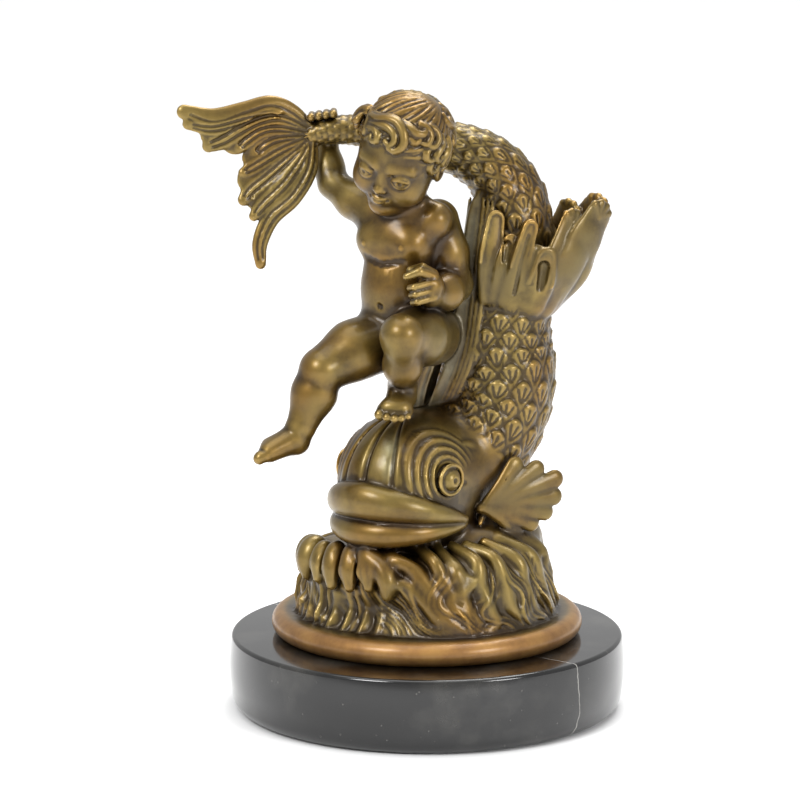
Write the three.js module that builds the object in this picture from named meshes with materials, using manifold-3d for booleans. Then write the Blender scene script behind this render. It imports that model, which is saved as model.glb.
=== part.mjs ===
// A cast bronze putto seated on a baroque dolphin, on a round plinth of black marble.
// Millimetres, +Z up, +X to the viewer's right, +Y away from the viewer.
// The origin is the centre of the plinth's underside.
import * as THREE from "three";
import Module from "manifold-3d";

// Driving dimensions of the plinth.
const plinthRadius = 76.4; // at the widest, half way up the swelling side
const plinthHeight = 29;
const plinthTopInset = 1.4; // how far the side has drawn in at the top edge
const plinthFootInset = 2.4; // how far it has drawn in at the foot
const plinthTopEdge = 1.6; // small round along the top edge
const plinthFootEdge = 6; // larger round along the foot

// Driving dimensions of the bronze.
const rimRadius = 59.5; // the smooth moulding that the waves rise from
const rimHeight = 9.2;
const waveMargin = 2.4; // the waves start this far inside the moulding's round edge
const bronzeHeight = 210; // from the moulding's underside to the top of the hair

// How finely the surfaces are worked out.
const plinthSides = 80;
const rimSides = 80;
const clayCell = 1.8; // step of the modelling grid
const headCell = 1.2; // and of its finer lines round the putto's head
const figureTriangles = 7440;

// The figure is drawn for a bronze of this height. Every number below that describes
// it is a share of that height, written in millimetres of the drawing.
const drawnHeight = 210;
const share = bronzeHeight / drawnHeight;

const wasm = await Module();
wasm.setup();

// Small vector helpers on [x, y, z].
const plus = (a, b) => [a[0] + b[0], a[1] + b[1], a[2] + b[2]];
const minus = (a, b) => [a[0] - b[0], a[1] - b[1], a[2] - b[2]];
const times = (a, s) => [a[0] * s, a[1] * s, a[2] * s];
const dot = (a, b) => a[0] * b[0] + a[1] * b[1] + a[2] * b[2];
const cross = (a, b) => [
  a[1] * b[2] - a[2] * b[1],
  a[2] * b[0] - a[0] * b[2],
  a[0] * b[1] - a[1] * b[0],
];
const unit = (a) => times(a, 1 / Math.hypot(...a));
const mix = (a, b, t) => a + (b - a) * t;
const within = (v, low, high) => Math.min(Math.max(v, low), high);

// A creature's own frame: forward, its left, and up.
class Pose {
  constructor(origin, forward, up) {
    this.origin = origin;
    this.forward = unit(forward);
    this.left = unit(cross(up, this.forward));
    this.up = cross(this.forward, this.left);
  }

  turn([f, l, u]) {
    return plus(plus(times(this.forward, f), times(this.left, l)), times(this.up, u));
  }

  at(place) {
    return plus(this.origin, this.turn(place));
  }
}

// Shapes: the corners of a box round each, and the signed distance to its surface.
function ball(c, r) {
  return {
    low: c.map((v) => v - r),
    high: c.map((v) => v + r),
    distance: (x, y, z) => Math.hypot(x - c[0], y - c[1], z - c[2]) - r,
  };
}

function egg(pose, place, [rf, rl, ru]) {
  const c = pose.at(place);
  const { forward: f, left: l, up: u } = pose;
  const reach = [0, 1, 2].map((i) => Math.hypot(rf * f[i], rl * l[i], ru * u[i]));
  return {
    low: minus(c, reach),
    high: plus(c, reach),
    distance: (x, y, z) => {
      const p = x - c[0];
      const q = y - c[1];
      const r = z - c[2];
      const a = (p * f[0] + q * f[1] + r * f[2]) / rf;
      const b = (p * l[0] + q * l[1] + r * l[2]) / rl;
      const d = (p * u[0] + q * u[1] + r * u[2]) / ru;
      const k0 = Math.sqrt(a * a + b * b + d * d);
      const k1 = Math.sqrt((a / rf) ** 2 + (b / rl) ** 2 + (d / ru) ** 2);
      return (k0 * (k0 - 1)) / Math.max(k1, 1e-6);
    },
  };
}

// A limb with round ends that tapers from one radius to another.
function limb(a, b, ra, rb) {
  const [p, q, r] = minus(b, a);
  const length2 = p * p + q * q + r * r + 1e-9;
  return {
    low: a.map((v, i) => Math.min(v - ra, b[i] - rb)),
    high: a.map((v, i) => Math.max(v + ra, b[i] + rb)),
    distance: (x0, y0, z0) => {
      const x = x0 - a[0];
      const y = y0 - a[1];
      const z = z0 - a[2];
      const t = within((x * p + y * q + z * r) / length2, 0, 1);
      return Math.sqrt((x - t * p) ** 2 + (y - t * q) ** 2 + (z - t * r) ** 2) - (ra + t * (rb - ra));
    },
  };
}

// The same limb pressed flat across a direction, with half widths and half thicknesses.
// The direction nearest to v that is square to the line.
function squared(v, line) {
  const [p, q, r] = unit(line);
  const share = v[0] * p + v[1] * q + v[2] * r;
  return unit([v[0] - share * p, v[1] - share * q, v[2] - share * r]);
}

function flatLimb(a, b, widths, depths, across) {
  const [p, q, r] = minus(b, a);
  const n = squared(across, [p, q, r]);
  const length2 = p * p + q * q + r * r + 1e-9;
  const reach = Math.max(...widths);
  return {
    low: a.map((v, i) => Math.min(v, b[i]) - reach),
    high: a.map((v, i) => Math.max(v, b[i]) + reach),
    distance: (x0, y0, z0) => {
      let x = x0 - a[0];
      let y = y0 - a[1];
      let z = z0 - a[2];
      const t = within((x * p + y * q + z * r) / length2, 0, 1);
      x -= t * p;
      y -= t * q;
      z -= t * r;
      const out = (x * n[0] + y * n[1] + z * n[2]) ** 2;
      const side = Math.max(x * x + y * y + z * z - out, 0);
      const w2 = mix(widths[0], widths[1], t) ** 2;
      const d2 = mix(depths[0], depths[1], t) ** 2;
      const k0 = Math.sqrt(side / w2 + out / d2);
      const k1 = Math.sqrt(side / (w2 * w2) + out / (d2 * d2));
      return (k0 * (k0 - 1)) / Math.max(k1, 1e-6);
    },
  };
}

// Points of a smooth curve through the given ones, whatever number of values each holds.
function curve(points, steps) {
  const beyond = (a, b) => a.map((v, i) => 2 * v - b[i]);
  const last = points.length - 1;
  const p = [beyond(points[0], points[1]), ...points, beyond(points[last], points[last - 1])];
  const out = [];
  for (let i = 1; i <= last; i++) {
    for (let j = 0; j < steps; j++) {
      const t = j / steps;
      out.push(
        p[i].map((v, k) => {
          const [a, c, d] = [p[i - 1][k], p[i + 1][k], p[i + 2][k]];
          const bend = (2 * a - 5 * v + 4 * c - d) * t * t + (3 * v - 3 * c + d - a) * t ** 3;
          return 0.5 * (2 * v + (c - a) * t + bend);
        }),
      );
    }
  }
  out.push(points[last]);
  return out;
}

// Limbs along a curve through [x, y, z, radius], or flat ones through [x, y, z, width, depth].
function strand(points, steps, across) {
  const path = curve(points, steps);
  return path.slice(1).map((b, i) => {
    const a = path[i];
    const [from, to] = [a.slice(0, 3), b.slice(0, 3)];
    if (across) return flatLimb(from, to, [a[3], b[3]], [a[4], b[4]], across);
    return limb(from, to, a[3], b[3]);
  });
}

const closeUp = (points) => points.slice(1).map((b, i) => [points[i], b]);

// The lower of two distances, with a fillet of about k where they meet.
function smoothMin(a, b, k) {
  const h = Math.max(k - Math.abs(a - b), 0);
  return Math.min(a, b) - (k > 0 ? (h * h) / (4 * k) : 0);
}

const farAway = 30;

// Lines of the modelling grid along one axis, closer together in one stretch of it.
function gridLines(low, high, fineLow, fineHigh) {
  const lines = [low];
  while (lines.at(-1) < high) {
    const v = lines.at(-1);
    lines.push(v + (v >= fineLow && v < fineHigh ? headCell : clayCell));
  }
  return Float64Array.from(lines);
}

// The clay holds the distance to the surface at each point of the grid.
class Clay {
  constructor(low, high, fineLow, fineHigh) {
    this.lines = low.map((v, i) => gridLines(v, high[i], fineLow[i], fineHigh[i]));
    this.size = this.lines.map((line) => line.length);
    this.field = new Float32Array(this.size[0] * this.size[1] * this.size[2]).fill(farAway);
  }

  // Calls work(index, x, y, z) at each grid point in a box.
  visit(low, high, pad, work) {
    const [first, last] = [[], []];
    this.lines.forEach((line, i) => {
      let a = 0;
      while (a < line.length && line[a] < low[i] - pad) a++;
      let b = a;
      while (b < line.length && line[b] <= high[i] + pad) b++;
      first.push(a);
      last.push(b);
    });
    const [lx, ly, lz] = this.lines;
    for (let i = first[0]; i < last[0]; i++) {
      for (let j = first[1]; j < last[1]; j++) {
        const row = (i * this.size[1] + j) * this.size[2];
        for (let k = first[2]; k < last[2]; k++) work(row + k, lx[i], ly[j], lz[k]);
      }
    }
  }

  add(shape, k = 0) {
    const { field } = this;
    this.visit(shape.low, shape.high, k + 2 * clayCell, (n, x, y, z) => {
      field[n] = smoothMin(field[n], shape.distance(x, y, z), k);
    });
  }

  cut(shape, k = 0) {
    const { field } = this;
    this.visit(shape.low, shape.high, k + 2 * clayCell, (n, x, y, z) => {
      field[n] = -smoothMin(-field[n], shape.distance(x, y, z), k);
    });
  }

  // Joins shapes to each other with one fillet, and the result to the clay with another.
  join(shapes, k, inner = 0) {
    const low = [0, 1, 2].map((i) => Math.min(...shapes.map((s) => s.low[i])));
    const high = [0, 1, 2].map((i) => Math.max(...shapes.map((s) => s.high[i])));
    const pad = k + inner + 2 * clayCell;
    const { field } = this;
    this.visit(low, high, pad, (n) => (this.scratch[n] = farAway));
    for (const s of shapes) {
      this.visit(s.low, s.high, pad, (n, x, y, z) => {
        this.scratch[n] = smoothMin(this.scratch[n], s.distance(x, y, z), inner);
      });
    }
    this.visit(low, high, pad, (n) => (field[n] = smoothMin(field[n], this.scratch[n], k)));
  }

  // Raises the surface by a height worked out at each place, in a box.
  raise(low, high, height) {
    const { field } = this;
    this.visit(low, high, 0, (n, x, y, z) => {
      if (Math.abs(field[n]) < 3 * clayCell) field[n] -= height(x, y, z);
    });
  }

  get scratch() {
    this.spare ??= new Float32Array(this.field.length);
    return this.spare;
  }
}

// Walks the grid's cubes in six tetrahedra each and puts triangles where the sign changes.
const cornerPaths = [
  [1, 2, 4, 1],
  [2, 4, 1, 1],
  [4, 1, 2, 1],
  [1, 4, 2, -1],
  [2, 1, 4, -1],
  [4, 2, 1, -1],
];
const evenOrders = {
  1: [0, 1, 2, 3],
  2: [1, 0, 3, 2],
  4: [2, 3, 0, 1],
  8: [3, 2, 1, 0],
  3: [0, 1, 2, 3],
  5: [0, 2, 3, 1],
  9: [0, 3, 1, 2],
  6: [1, 2, 0, 3],
  10: [1, 3, 2, 0],
  12: [2, 3, 0, 1],
};

function surfaceOf(clay) {
  const [nx, ny, nz] = clay.size;
  const { field, lines } = clay;
  const nudge = 1e-4;
  for (let n = 0; n < field.length; n++) {
    if (Math.abs(field[n]) < nudge) field[n] = nudge;
  }
  const step = [0, 1, 2, 3, 4, 5, 6, 7].map((c) => {
    return ((c & 1) * ny + ((c >> 1) & 1)) * nz + ((c >> 2) & 1);
  });
  const known = new Map();
  const points = [];
  const faces = [];
  const endGap = 0.08; // keeps new points off the grid's own corners
  function pointOn(cube, from, to) {
    const [a, b] = from < to ? [from, to] : [to, from];
    const start = cube.n + step[a];
    const key = start * 8 + (b - a);
    let found = known.get(key);
    if (found === undefined) {
      const [va, vb] = [field[start], field[cube.n + step[b]]];
      const t = within(va / (va - vb), endGap, 1 - endGap);
      found = points.length / 3;
      for (let axis = 0; axis < 3; axis++) {
        const line = lines[axis];
        const base = cube.at[axis];
        points.push(mix(line[base + ((a >> axis) & 1)], line[base + ((b >> axis) & 1)], t));
      }
      known.set(key, found);
    }
    return found;
  }
  const cube = { n: 0, at: [0, 0, 0] };
  for (let i = 0; i < nx - 1; i++) {
    for (let j = 0; j < ny - 1; j++) {
      for (let k = 0; k < nz - 1; k++) {
        const n = (i * ny + j) * nz + k;
        let inside = 0;
        for (let c = 0; c < 8; c++) inside += field[n + step[c]] < 0;
        if (inside === 0 || inside === 8) continue;
        cube.n = n;
        cube.at = [i, j, k];
        for (const [a, b, c, hand] of cornerPaths) {
          const corners = hand > 0 ? [0, a, a + b, a + b + c] : [0, a, a + b + c, a + b];
          let code = 0;
          for (let s = 0; s < 4; s++) code |= (field[n + step[corners[s]]] < 0) << s;
          if (code === 0 || code === 15) continue;
          const flip = code === 7 || code === 11 || code === 13 || code === 14;
          const [p, q, r, s] = evenOrders[flip ? 15 - code : code].map((x) => corners[x]);
          if (evenOrders[code] && [3, 5, 9, 6, 10, 12].includes(code)) {
            const [pr, ps, qs, qr] = [[p, r], [p, s], [q, s], [q, r]].map((ends) => pointOn(cube, ...ends));
            faces.push(pr, ps, qs, pr, qs, qr);
          } else {
            const three = [pointOn(cube, p, q), pointOn(cube, p, r), pointOn(cube, p, s)];
            if (flip) three.reverse();
            faces.push(...three);
          }
        }
      }
    }
  }
  return { points: Float64Array.from(points), faces: Int32Array.from(faces) };
}

// Keeps the one body that holds most of the triangles.
function largestBody({ points, faces }) {
  const parent = Int32Array.from({ length: points.length / 3 }, (_, i) => i);
  function rootOf(v) {
    while (parent[v] !== v) {
      parent[v] = parent[parent[v]];
      v = parent[v];
    }
    return v;
  }
  for (let f = 0; f < faces.length; f += 3) {
    const root = rootOf(faces[f]);
    parent[rootOf(faces[f + 1])] = root;
    parent[rootOf(faces[f + 2])] = root;
  }
  const count = new Map();
  for (let f = 0; f < faces.length; f += 3) {
    const root = rootOf(faces[f]);
    count.set(root, (count.get(root) ?? 0) + 1);
  }
  const [best] = [...count].sort((a, b) => b[1] - a[1])[0];
  const kept = [];
  for (let f = 0; f < faces.length; f += 3) {
    if (rootOf(faces[f]) === best) kept.push(faces[f], faces[f + 1], faces[f + 2]);
  }
  return { points, faces: Int32Array.from(kept) };
}

// A queue of edges that hands out the one with the lowest cost first.
class EdgeQueue {
  constructor(room) {
    this.length = 0;
    this.cost = new Float64Array(room);
    this.edge = Array.from({ length: 4 }, () => new Int32Array(room));
  }

  grow() {
    const wider = (old) => {
      const array = new old.constructor(2 * old.length);
      array.set(old);
      return array;
    };
    this.cost = wider(this.cost);
    this.edge = this.edge.map(wider);
  }

  move(from, to) {
    const [a, b, c, d] = this.edge;
    this.cost[to] = this.cost[from];
    a[to] = a[from];
    b[to] = b[from];
    c[to] = c[from];
    d[to] = d[from];
  }

  // Puts an edge with its two ends and their version marks at place n.
  put(n, cost, u, v, markU, markV) {
    const [a, b, c, d] = this.edge;
    this.cost[n] = cost;
    a[n] = u;
    b[n] = v;
    c[n] = markU;
    d[n] = markV;
  }

  push(cost, u, v, markU, markV) {
    if (this.length + 1 >= this.cost.length) this.grow();
    let n = this.length++;
    while (n > 0) {
      const up = (n - 1) >> 1;
      if (this.cost[up] <= cost) break;
      this.move(up, n);
      n = up;
    }
    this.put(n, cost, u, v, markU, markV);
  }

  // Takes the cheapest edge out; its values are left in this.taken.
  pop() {
    const [a, b, c, d] = this.edge;
    this.taken = [a[0], b[0], c[0], d[0]];
    const last = --this.length;
    const cost = this.cost[last];
    let n = 0;
    for (;;) {
      let down = 2 * n + 1;
      if (down >= last) break;
      if (down + 1 < last && this.cost[down + 1] < this.cost[down]) down++;
      if (this.cost[down] >= cost) break;
      this.move(down, n);
      n = down;
    }
    this.put(n, cost, a[last], b[last], c[last], d[last]);
    return this.taken;
  }
}

// Joins the two ends of the edge whose loss moves the surface least, again and again, until
// the wanted number of triangles is left. care(x, y, z) says where the surface matters more.
function simplify({ points, faces }, wanted, care) {
  const count = points.length / 3;
  const quadric = new Float64Array(count * 10);
  const worth = new Float32Array(count);
  const touching = Array.from({ length: count }, () => []);
  const version = new Int32Array(count);
  const alive = new Uint8Array(faces.length / 3).fill(1);
  const crossed = new Float64Array(3);

  // Twice the area of the triangle a b c as a vector, with corner v moved to (x, y, z).
  function spread(a, b, c, v, x, y, z) {
    const ax = a === v ? x : points[3 * a];
    const ay = a === v ? y : points[3 * a + 1];
    const az = a === v ? z : points[3 * a + 2];
    const bx = (b === v ? x : points[3 * b]) - ax;
    const by = (b === v ? y : points[3 * b + 1]) - ay;
    const bz = (b === v ? z : points[3 * b + 2]) - az;
    const cx = (c === v ? x : points[3 * c]) - ax;
    const cy = (c === v ? y : points[3 * c + 1]) - ay;
    const cz = (c === v ? z : points[3 * c + 2]) - az;
    crossed[0] = by * cz - bz * cy;
    crossed[1] = bz * cx - bx * cz;
    crossed[2] = bx * cy - by * cx;
    const third = (bx - cx) ** 2 + (by - cy) ** 2 + (bz - cz) ** 2;
    return bx * bx + by * by + bz * bz + cx * cx + cy * cy + cz * cz + third;
  }

  for (let v = 0; v < count; v++) worth[v] = care(points[3 * v], points[3 * v + 1], points[3 * v + 2]);
  for (let f = 0; f < alive.length; f++) {
    const a = faces[3 * f];
    spread(a, faces[3 * f + 1], faces[3 * f + 2], -1, 0, 0, 0);
    const double = Math.hypot(crossed[0], crossed[1], crossed[2]);
    const n = crossed.map((s) => s / Math.max(double, 1e-12));
    const plane = [...n, -(n[0] * points[3 * a] + n[1] * points[3 * a + 1] + n[2] * points[3 * a + 2])];
    const weight = (double / 2 + 1e-4) * worth[a];
    for (let corner = 0; corner < 3; corner++) {
      const v = faces[3 * f + corner];
      touching[v].push(f);
      let at = 10 * v;
      for (let i = 0; i < 4; i++) for (let j = i; j < 4; j++) quadric[at++] += weight * plane[i] * plane[j];
    }
  }

  // The best place for the joined end of edge u v goes to place; the cost comes back.
  const q = new Float64Array(10);
  const place = new Float64Array(3);
  const lengthWeight = 2e-3; // prefers short edges where the surface is flat
  function error(x, y, z) {
    const squares = q[0] * x * x + q[4] * y * y + q[7] * z * z;
    const mixed = q[1] * x * y + q[2] * x * z + q[5] * y * z;
    return squares + 2 * mixed + 2 * (q[3] * x + q[6] * y + q[8] * z) + q[9];
  }
  function plan(u, v) {
    for (let i = 0; i < 10; i++) q[i] = quadric[10 * u + i] + quadric[10 * v + i];
    const ux = points[3 * u];
    const uy = points[3 * u + 1];
    const uz = points[3 * u + 2];
    const dx = points[3 * v] - ux;
    const dy = points[3 * v + 1] - uy;
    const dz = points[3 * v + 2] - uz;
    const length2 = dx * dx + dy * dy + dz * dz;
    let best = Infinity;
    for (let t = 0; t <= 1; t += 0.5) {
      const e = error(ux + t * dx, uy + t * dy, uz + t * dz);
      if (e < best) {
        best = e;
        place[0] = ux + t * dx;
        place[1] = uy + t * dy;
        place[2] = uz + t * dz;
      }
    }
    const c00 = q[4] * q[7] - q[5] * q[5];
    const c01 = q[2] * q[5] - q[1] * q[7];
    const c02 = q[1] * q[5] - q[2] * q[4];
    const det = q[0] * c00 + q[1] * c01 + q[2] * c02;
    if (Math.abs(det) > 1e-9 * (q[0] + q[4] + q[7]) ** 3) {
      const c11 = q[0] * q[7] - q[2] * q[2];
      const c12 = q[1] * q[2] - q[0] * q[5];
      const c22 = q[0] * q[4] - q[1] * q[1];
      const x = -(c00 * q[3] + c01 * q[6] + c02 * q[8]) / det;
      const y = -(c01 * q[3] + c11 * q[6] + c12 * q[8]) / det;
      const z = -(c02 * q[3] + c12 * q[6] + c22 * q[8]) / det;
      const away = (x - ux - dx / 2) ** 2 + (y - uy - dy / 2) ** 2 + (z - uz - dz / 2) ** 2;
      const e = error(x, y, z);
      if (away < length2 && e < best) {
        best = e;
        place[0] = x;
        place[1] = y;
        place[2] = z;
      }
    }
    return Math.max(best, 0) + lengthWeight * length2 * worth[u];
  }

  // True where moving v to the planned place would turn a triangle over or make it a sliver.
  const thin = 0.03;
  function spoils(v, other) {
    for (const f of touching[v]) {
      const a = faces[3 * f];
      const b = faces[3 * f + 1];
      const c = faces[3 * f + 2];
      if (a === other || b === other || c === other) continue;
      const before = spread(a, b, c, -1, 0, 0, 0);
      const nx = crossed[0];
      const ny = crossed[1];
      const nz = crossed[2];
      const after = spread(a, b, c, v, place[0], place[1], place[2]);
      const size = Math.sqrt(crossed[0] ** 2 + crossed[1] ** 2 + crossed[2] ** 2);
      const sizeBefore = Math.sqrt(nx * nx + ny * ny + nz * nz);
      if (size < thin * after && size / after < sizeBefore / before) return true;
      if (nx * crossed[0] + ny * crossed[1] + nz * crossed[2] < 0.2 * size * sizeBefore) return true;
    }
    return false;
  }

  const queue = new EdgeQueue(4 * faces.length);
  const offer = (u, v) => queue.push(plan(u, v), u, v, version[u], version[v]);
  for (let f = 0; f < faces.length; f += 3) {
    for (let i = 0; i < 3; i++) {
      const u = faces[f + i];
      const v = faces[f + ((i + 1) % 3)];
      if (u < v) offer(u, v);
    }
  }

  const seen = new Int32Array(count).fill(-1);
  let round = 0;
  let left = alive.length;
  while (left > wanted && queue.length) {
    const [u, v, markU, markV] = queue.pop();
    if (version[u] !== markU || version[v] !== markV) continue;
    // Only two corners may be next to both ends, or the surface would fold onto itself.
    round += 2;
    for (const f of touching[u]) for (let i = 0; i < 3; i++) seen[faces[3 * f + i]] = round;
    let common = -2;
    for (const f of touching[v]) {
      for (let i = 0; i < 3; i++) {
        const w = faces[3 * f + i];
        common += seen[w] === round;
        if (seen[w] === round) seen[w] = round + 1;
      }
    }
    if (common !== 2) continue;
    plan(u, v);
    if (spoils(u, v) || spoils(v, u)) continue;
    for (const f of touching[v]) {
      const at = 3 * f;
      if (faces[at] === u || faces[at + 1] === u || faces[at + 2] === u) {
        alive[f] = 0;
        left--;
        for (let i = 0; i < 3; i++) {
          const w = faces[at + i];
          if (w !== v) touching[w].splice(touching[w].indexOf(f), 1);
        }
      } else {
        for (let i = 0; i < 3; i++) if (faces[at + i] === v) faces[at + i] = u;
        touching[u].push(f);
      }
    }
    version[v] = -1;
    version[u]++;
    for (let i = 0; i < 3; i++) points[3 * u + i] = place[i];
    for (let i = 0; i < 10; i++) quadric[10 * u + i] += quadric[10 * v + i];
    round += 2;
    seen[u] = round;
    for (const f of touching[u]) {
      for (let i = 0; i < 3; i++) {
        const w = faces[3 * f + i];
        if (seen[w] !== round) offer(u, w);
        seen[w] = round;
      }
    }
  }
  const kept = [];
  for (let f = 0; f < alive.length; f++) {
    if (alive[f]) kept.push(faces[3 * f], faces[3 * f + 1], faces[3 * f + 2]);
  }
  return { points, faces: Int32Array.from(kept) };
}

// The waves under the dolphin: a mound carved in sheets of water that sweep down and round.
const waveFoot = (rimRadius - rimHeight / 2 - waveMargin) / share;
const waveSink = rimHeight / 2 / share; // the mound starts inside the moulding
const waveTop = 37;
const sheets = 17;
const strands = 30;
const breaking = { middle: 233, from: 192, to: 246 }; // bearings of the breaking wave, in degrees
const turnOf = (x, y) => (THREE.MathUtils.radToDeg(Math.atan2(y, x)) + 360) % 360;

// A place on the waves: bearing in degrees, height, and how far in from the foot.
function onWave(turn, z, inset, radius) {
  const a = THREE.MathUtils.degToRad(turn);
  const r = waveFoot - inset;
  return [r * Math.cos(a), r * Math.sin(a), z, radius];
}

function waveCore(x, y, z) {
  const rho = Math.hypot(x, y);
  const turn = turnOf(x, y);
  const angle = THREE.MathUtils.degToRad(turn);
  const h = z / waveTop;
  const hollow = Math.exp(-(((turn - breaking.middle) / 24) ** 2)) * Math.exp(-(((z - 19) / 7) ** 2));
  const sweep = 48 * within((38 - z) / 27, 0, 1) ** 1.2 + 4 * Math.sin(z / 5);
  const sheet = ((turn - sweep) * sheets) / 360 + 0.22 * Math.sin(5 * angle + 0.11 * z);
  const saw = sheet - Math.floor(sheet);
  const ridge = Math.min(saw / 0.7, (1 - saw) / 0.3);
  const carving = (3.6 * ridge - 1.8) * within((z - 9) / 5, 0.1, 1) * (1 - 0.6 * hollow);
  const side = 0.75 * (rho - (waveFoot - 1 - 4.6 * h - 3.7 * h * h - 5 * hollow + carving));
  const top = 0.95 * (z - waveTop);
  return Math.max(-smoothMin(-side, -top, 8), waveSink - z);
}

function waves(clay) {
  const reach = waveFoot + 6;
  clay.add({ low: [-reach, -reach, waveSink], high: [reach, reach, waveTop + 5], distance: waveCore }, 1);
  clay.add(egg(new Pose([0, 0, 0], [1, 0, 0], [0, 0, 1]), [13, 5, 37], [31, 27, 13]), 4);
  sweepingStrands(clay);
  breakingWave(clay);
}

function sweepingStrands(clay) {
  const widths = [1, 0.62, 0.85, 0.55];
  for (let i = 0; i < strands; i++) {
    const turn = 250 + (360 * i) / strands;
    const bearing = turn % 360;
    if (bearing > breaking.from && bearing < breaking.to) continue;
    const rise = 6 * Math.max(0, Math.cos(THREE.MathUtils.degToRad(turn - 20)));
    const sway = 3 * Math.sin(2.3 * i);
    const w = widths[i % widths.length];
    const points = [
      onWave(turn - 6, 38 + rise, 14.5, w),
      onWave(turn + 4 + sway, 35.5 + 0.8 * rise, 8.9, 2.3 * w),
      onWave(turn + 13 + sway, 27 + 0.3 * rise, 4.9, 2.8 * w),
      onWave(turn + 21, 17.5, 2.2, 2.5 * w),
      onWave(turn + 31 + sway, 11.6, 0.3, 1.9 * w),
      onWave(turn + 42, 12.2, 1.9, 0.7),
    ];
    clay.join(strand(points, 4), 1.6);
  }
}

// Lobes hanging over a hollow, and fine strands running down inside it:
// bearing, height at the top, height at the tip and radius.
const lobes = [
  [196, 33, 27.5, 3.4], [207, 37, 29, 3.8], [218, 38, 29.5, 3.9],
  [229, 38.5, 30, 3.6], [238, 38.5, 28.5, 3.5], [247.5, 38.5, 24.5, 3.8],
];

function breakingWave(clay) {
  for (const [turn, top, tip, r] of lobes) {
    const points = [
      onWave(turn - 3, top - 1, 15.5, 2.4),
      onWave(turn - 1, top + 0.5, 7.5, r),
      onWave(turn + 1, (top + tip) / 2 + 2, 2.5, r),
      onWave(turn + 3, tip, 2.3, 2.2),
    ];
    clay.join(strand(points, 4), 0.9);
  }
  for (let i = 0; i < 13; i++) {
    const turn = 186 + 5.6 * i;
    const sway = 2.5 * Math.sin(3.1 * i);
    const points = [
      onWave(turn + 0.3 * sway, 25.5, 8.1, 0.8),
      onWave(turn + 1 + sway, 18, 6.1, 1.7 + 0.3 * Math.sin(5 * i)),
      onWave(turn + 4 + sway, 11, 1.7, 1.3),
    ];
    clay.join(strand(points, 4), 0.9);
  }
}

// The dolphin's head, in its own frame. It faces the viewer, turned to the viewer's left.
const fishPose = new Pose([-7, -13, 61], [-0.588, -0.809, 0], [0, 0, 1]);
const sides = [1, -1];
const fishEye = [7, 24, 5];

function fishRelief(x, y, z) {
  const away = minus([x, y, z], fishPose.origin);
  const f = dot(away, fishPose.forward);
  const l = dot(away, fishPose.left);
  const u = dot(away, fishPose.up);
  const bearing = THREE.MathUtils.radToDeg(Math.atan2(l, f));
  const upper = within((u + 4) / 10, 0, 1) * within((30 - Math.abs(bearing)) / 8, 0, 1);
  let height = 0;
  for (const seam of [-23, 0, 23]) {
    height -= 1.3 * upper * Math.exp(-(((bearing - seam) / 3) ** 2));
  }
  for (const side of sides) {
    if (l * side < 4) continue;
    const [a, b] = [f - fishEye[0], u - fishEye[2]];
    const rho = Math.hypot(1.08 * a, b);
    const angle = Math.atan2(b, a);
    const coil = rho / 4.3 - angle / (2 * Math.PI);
    const saw = coil - Math.floor(coil);
    const wave = Math.min(saw * 1.35, (1 - saw) * 4) - 0.4;
    const ring = within((rho - 6.5) / 2, 0, 1) * within((22 - rho) / 5, 0, 1);
    const arc = within((angle + 0.9) / 0.5, 0, 1) * within((2.9 - angle) / 0.6, 0, 1);
    height += 1.5 * ring * arc * wave;
  }
  return height;
}

// A lip is a flattened band round the front of the head, thin at the corners of the mouth.
function lip({ front, corner, heights, depths, back }) {
  const pieces = 28;
  const spread = THREE.MathUtils.degToRad(102);
  const points = [];
  for (let i = 0; i <= pieces; i++) {
    const s = (2 * i) / pieces - 1;
    const t = s * spread;
    const up = mix(front, corner, Math.abs(s) ** 1.6);
    const place = fishPose.at([(29.5 - back) * Math.cos(t), (25 - back / 2) * Math.sin(t), up]);
    const thin = Math.abs(s) ** 1.8;
    points.push({ place, t, height: mix(...heights, thin), depth: mix(...depths, thin) });
  }
  return closeUp(points).map(([a, b]) => {
    const middle = (a.t + b.t) / 2;
    const across = fishPose.turn([Math.cos(middle), Math.sin(middle), 0]);
    return flatLimb(a.place, b.place, [a.height, b.height], [a.depth, b.depth], across);
  });
}

function fishHead(clay) {
  clay.add(egg(fishPose, [0, 0, 2], [29, 25, 25.5]), 6);
  clay.add(egg(fishPose, [2, 0, -10], [26, 22, 14]), 6);
  const reach = [36, 36, 36];
  clay.raise(minus(fishPose.origin, reach), plus(fishPose.origin, reach), fishRelief);
  for (const side of sides) {
    const [ef, el, eu] = fishEye;
    const beside = (f, l, u) => fishPose.at([ef + f, side * (el + l), eu + u]);
    clay.cut(ball(beside(0.5, 1.5, 0), 6), 1);
    clay.add(ball(beside(0, -1.2, 0), 4.9), 0.4);
    clay.cut(ball(beside(0.9, 3.9, 0), 1.3), 0.3);
    const lids = [];
    for (let i = 0; i <= 20; i++) {
      const a = (2 * Math.PI * i) / 20;
      lids.push(beside(5.8 * Math.cos(a), 0.7 - 0.9 * Math.cos(a), 5.6 * Math.sin(a)));
    }
    clay.join(closeUp(lids).map(([a, b]) => limb(a, b, 0.95, 0.95)), 0.8);
    clay.add(limb(beside(-5, 1.2, -0.5), beside(-10.5, 0.6, -2.5), 1.3, 0.5), 0.8);
  }
  clay.join(lip({ front: -2, corner: -11.2, heights: [7, 1.6], depths: [5.2, 1.6], back: 0 }), 1.2);
  clay.join(lip({ front: -14.5, corner: -13.4, heights: [5.4, 1.4], depths: [5, 1.6], back: 1 }), 1.2);
  for (const side of sides) {
    gillEdge(clay, side);
    pectoralFan(clay, side);
  }
}

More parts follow.
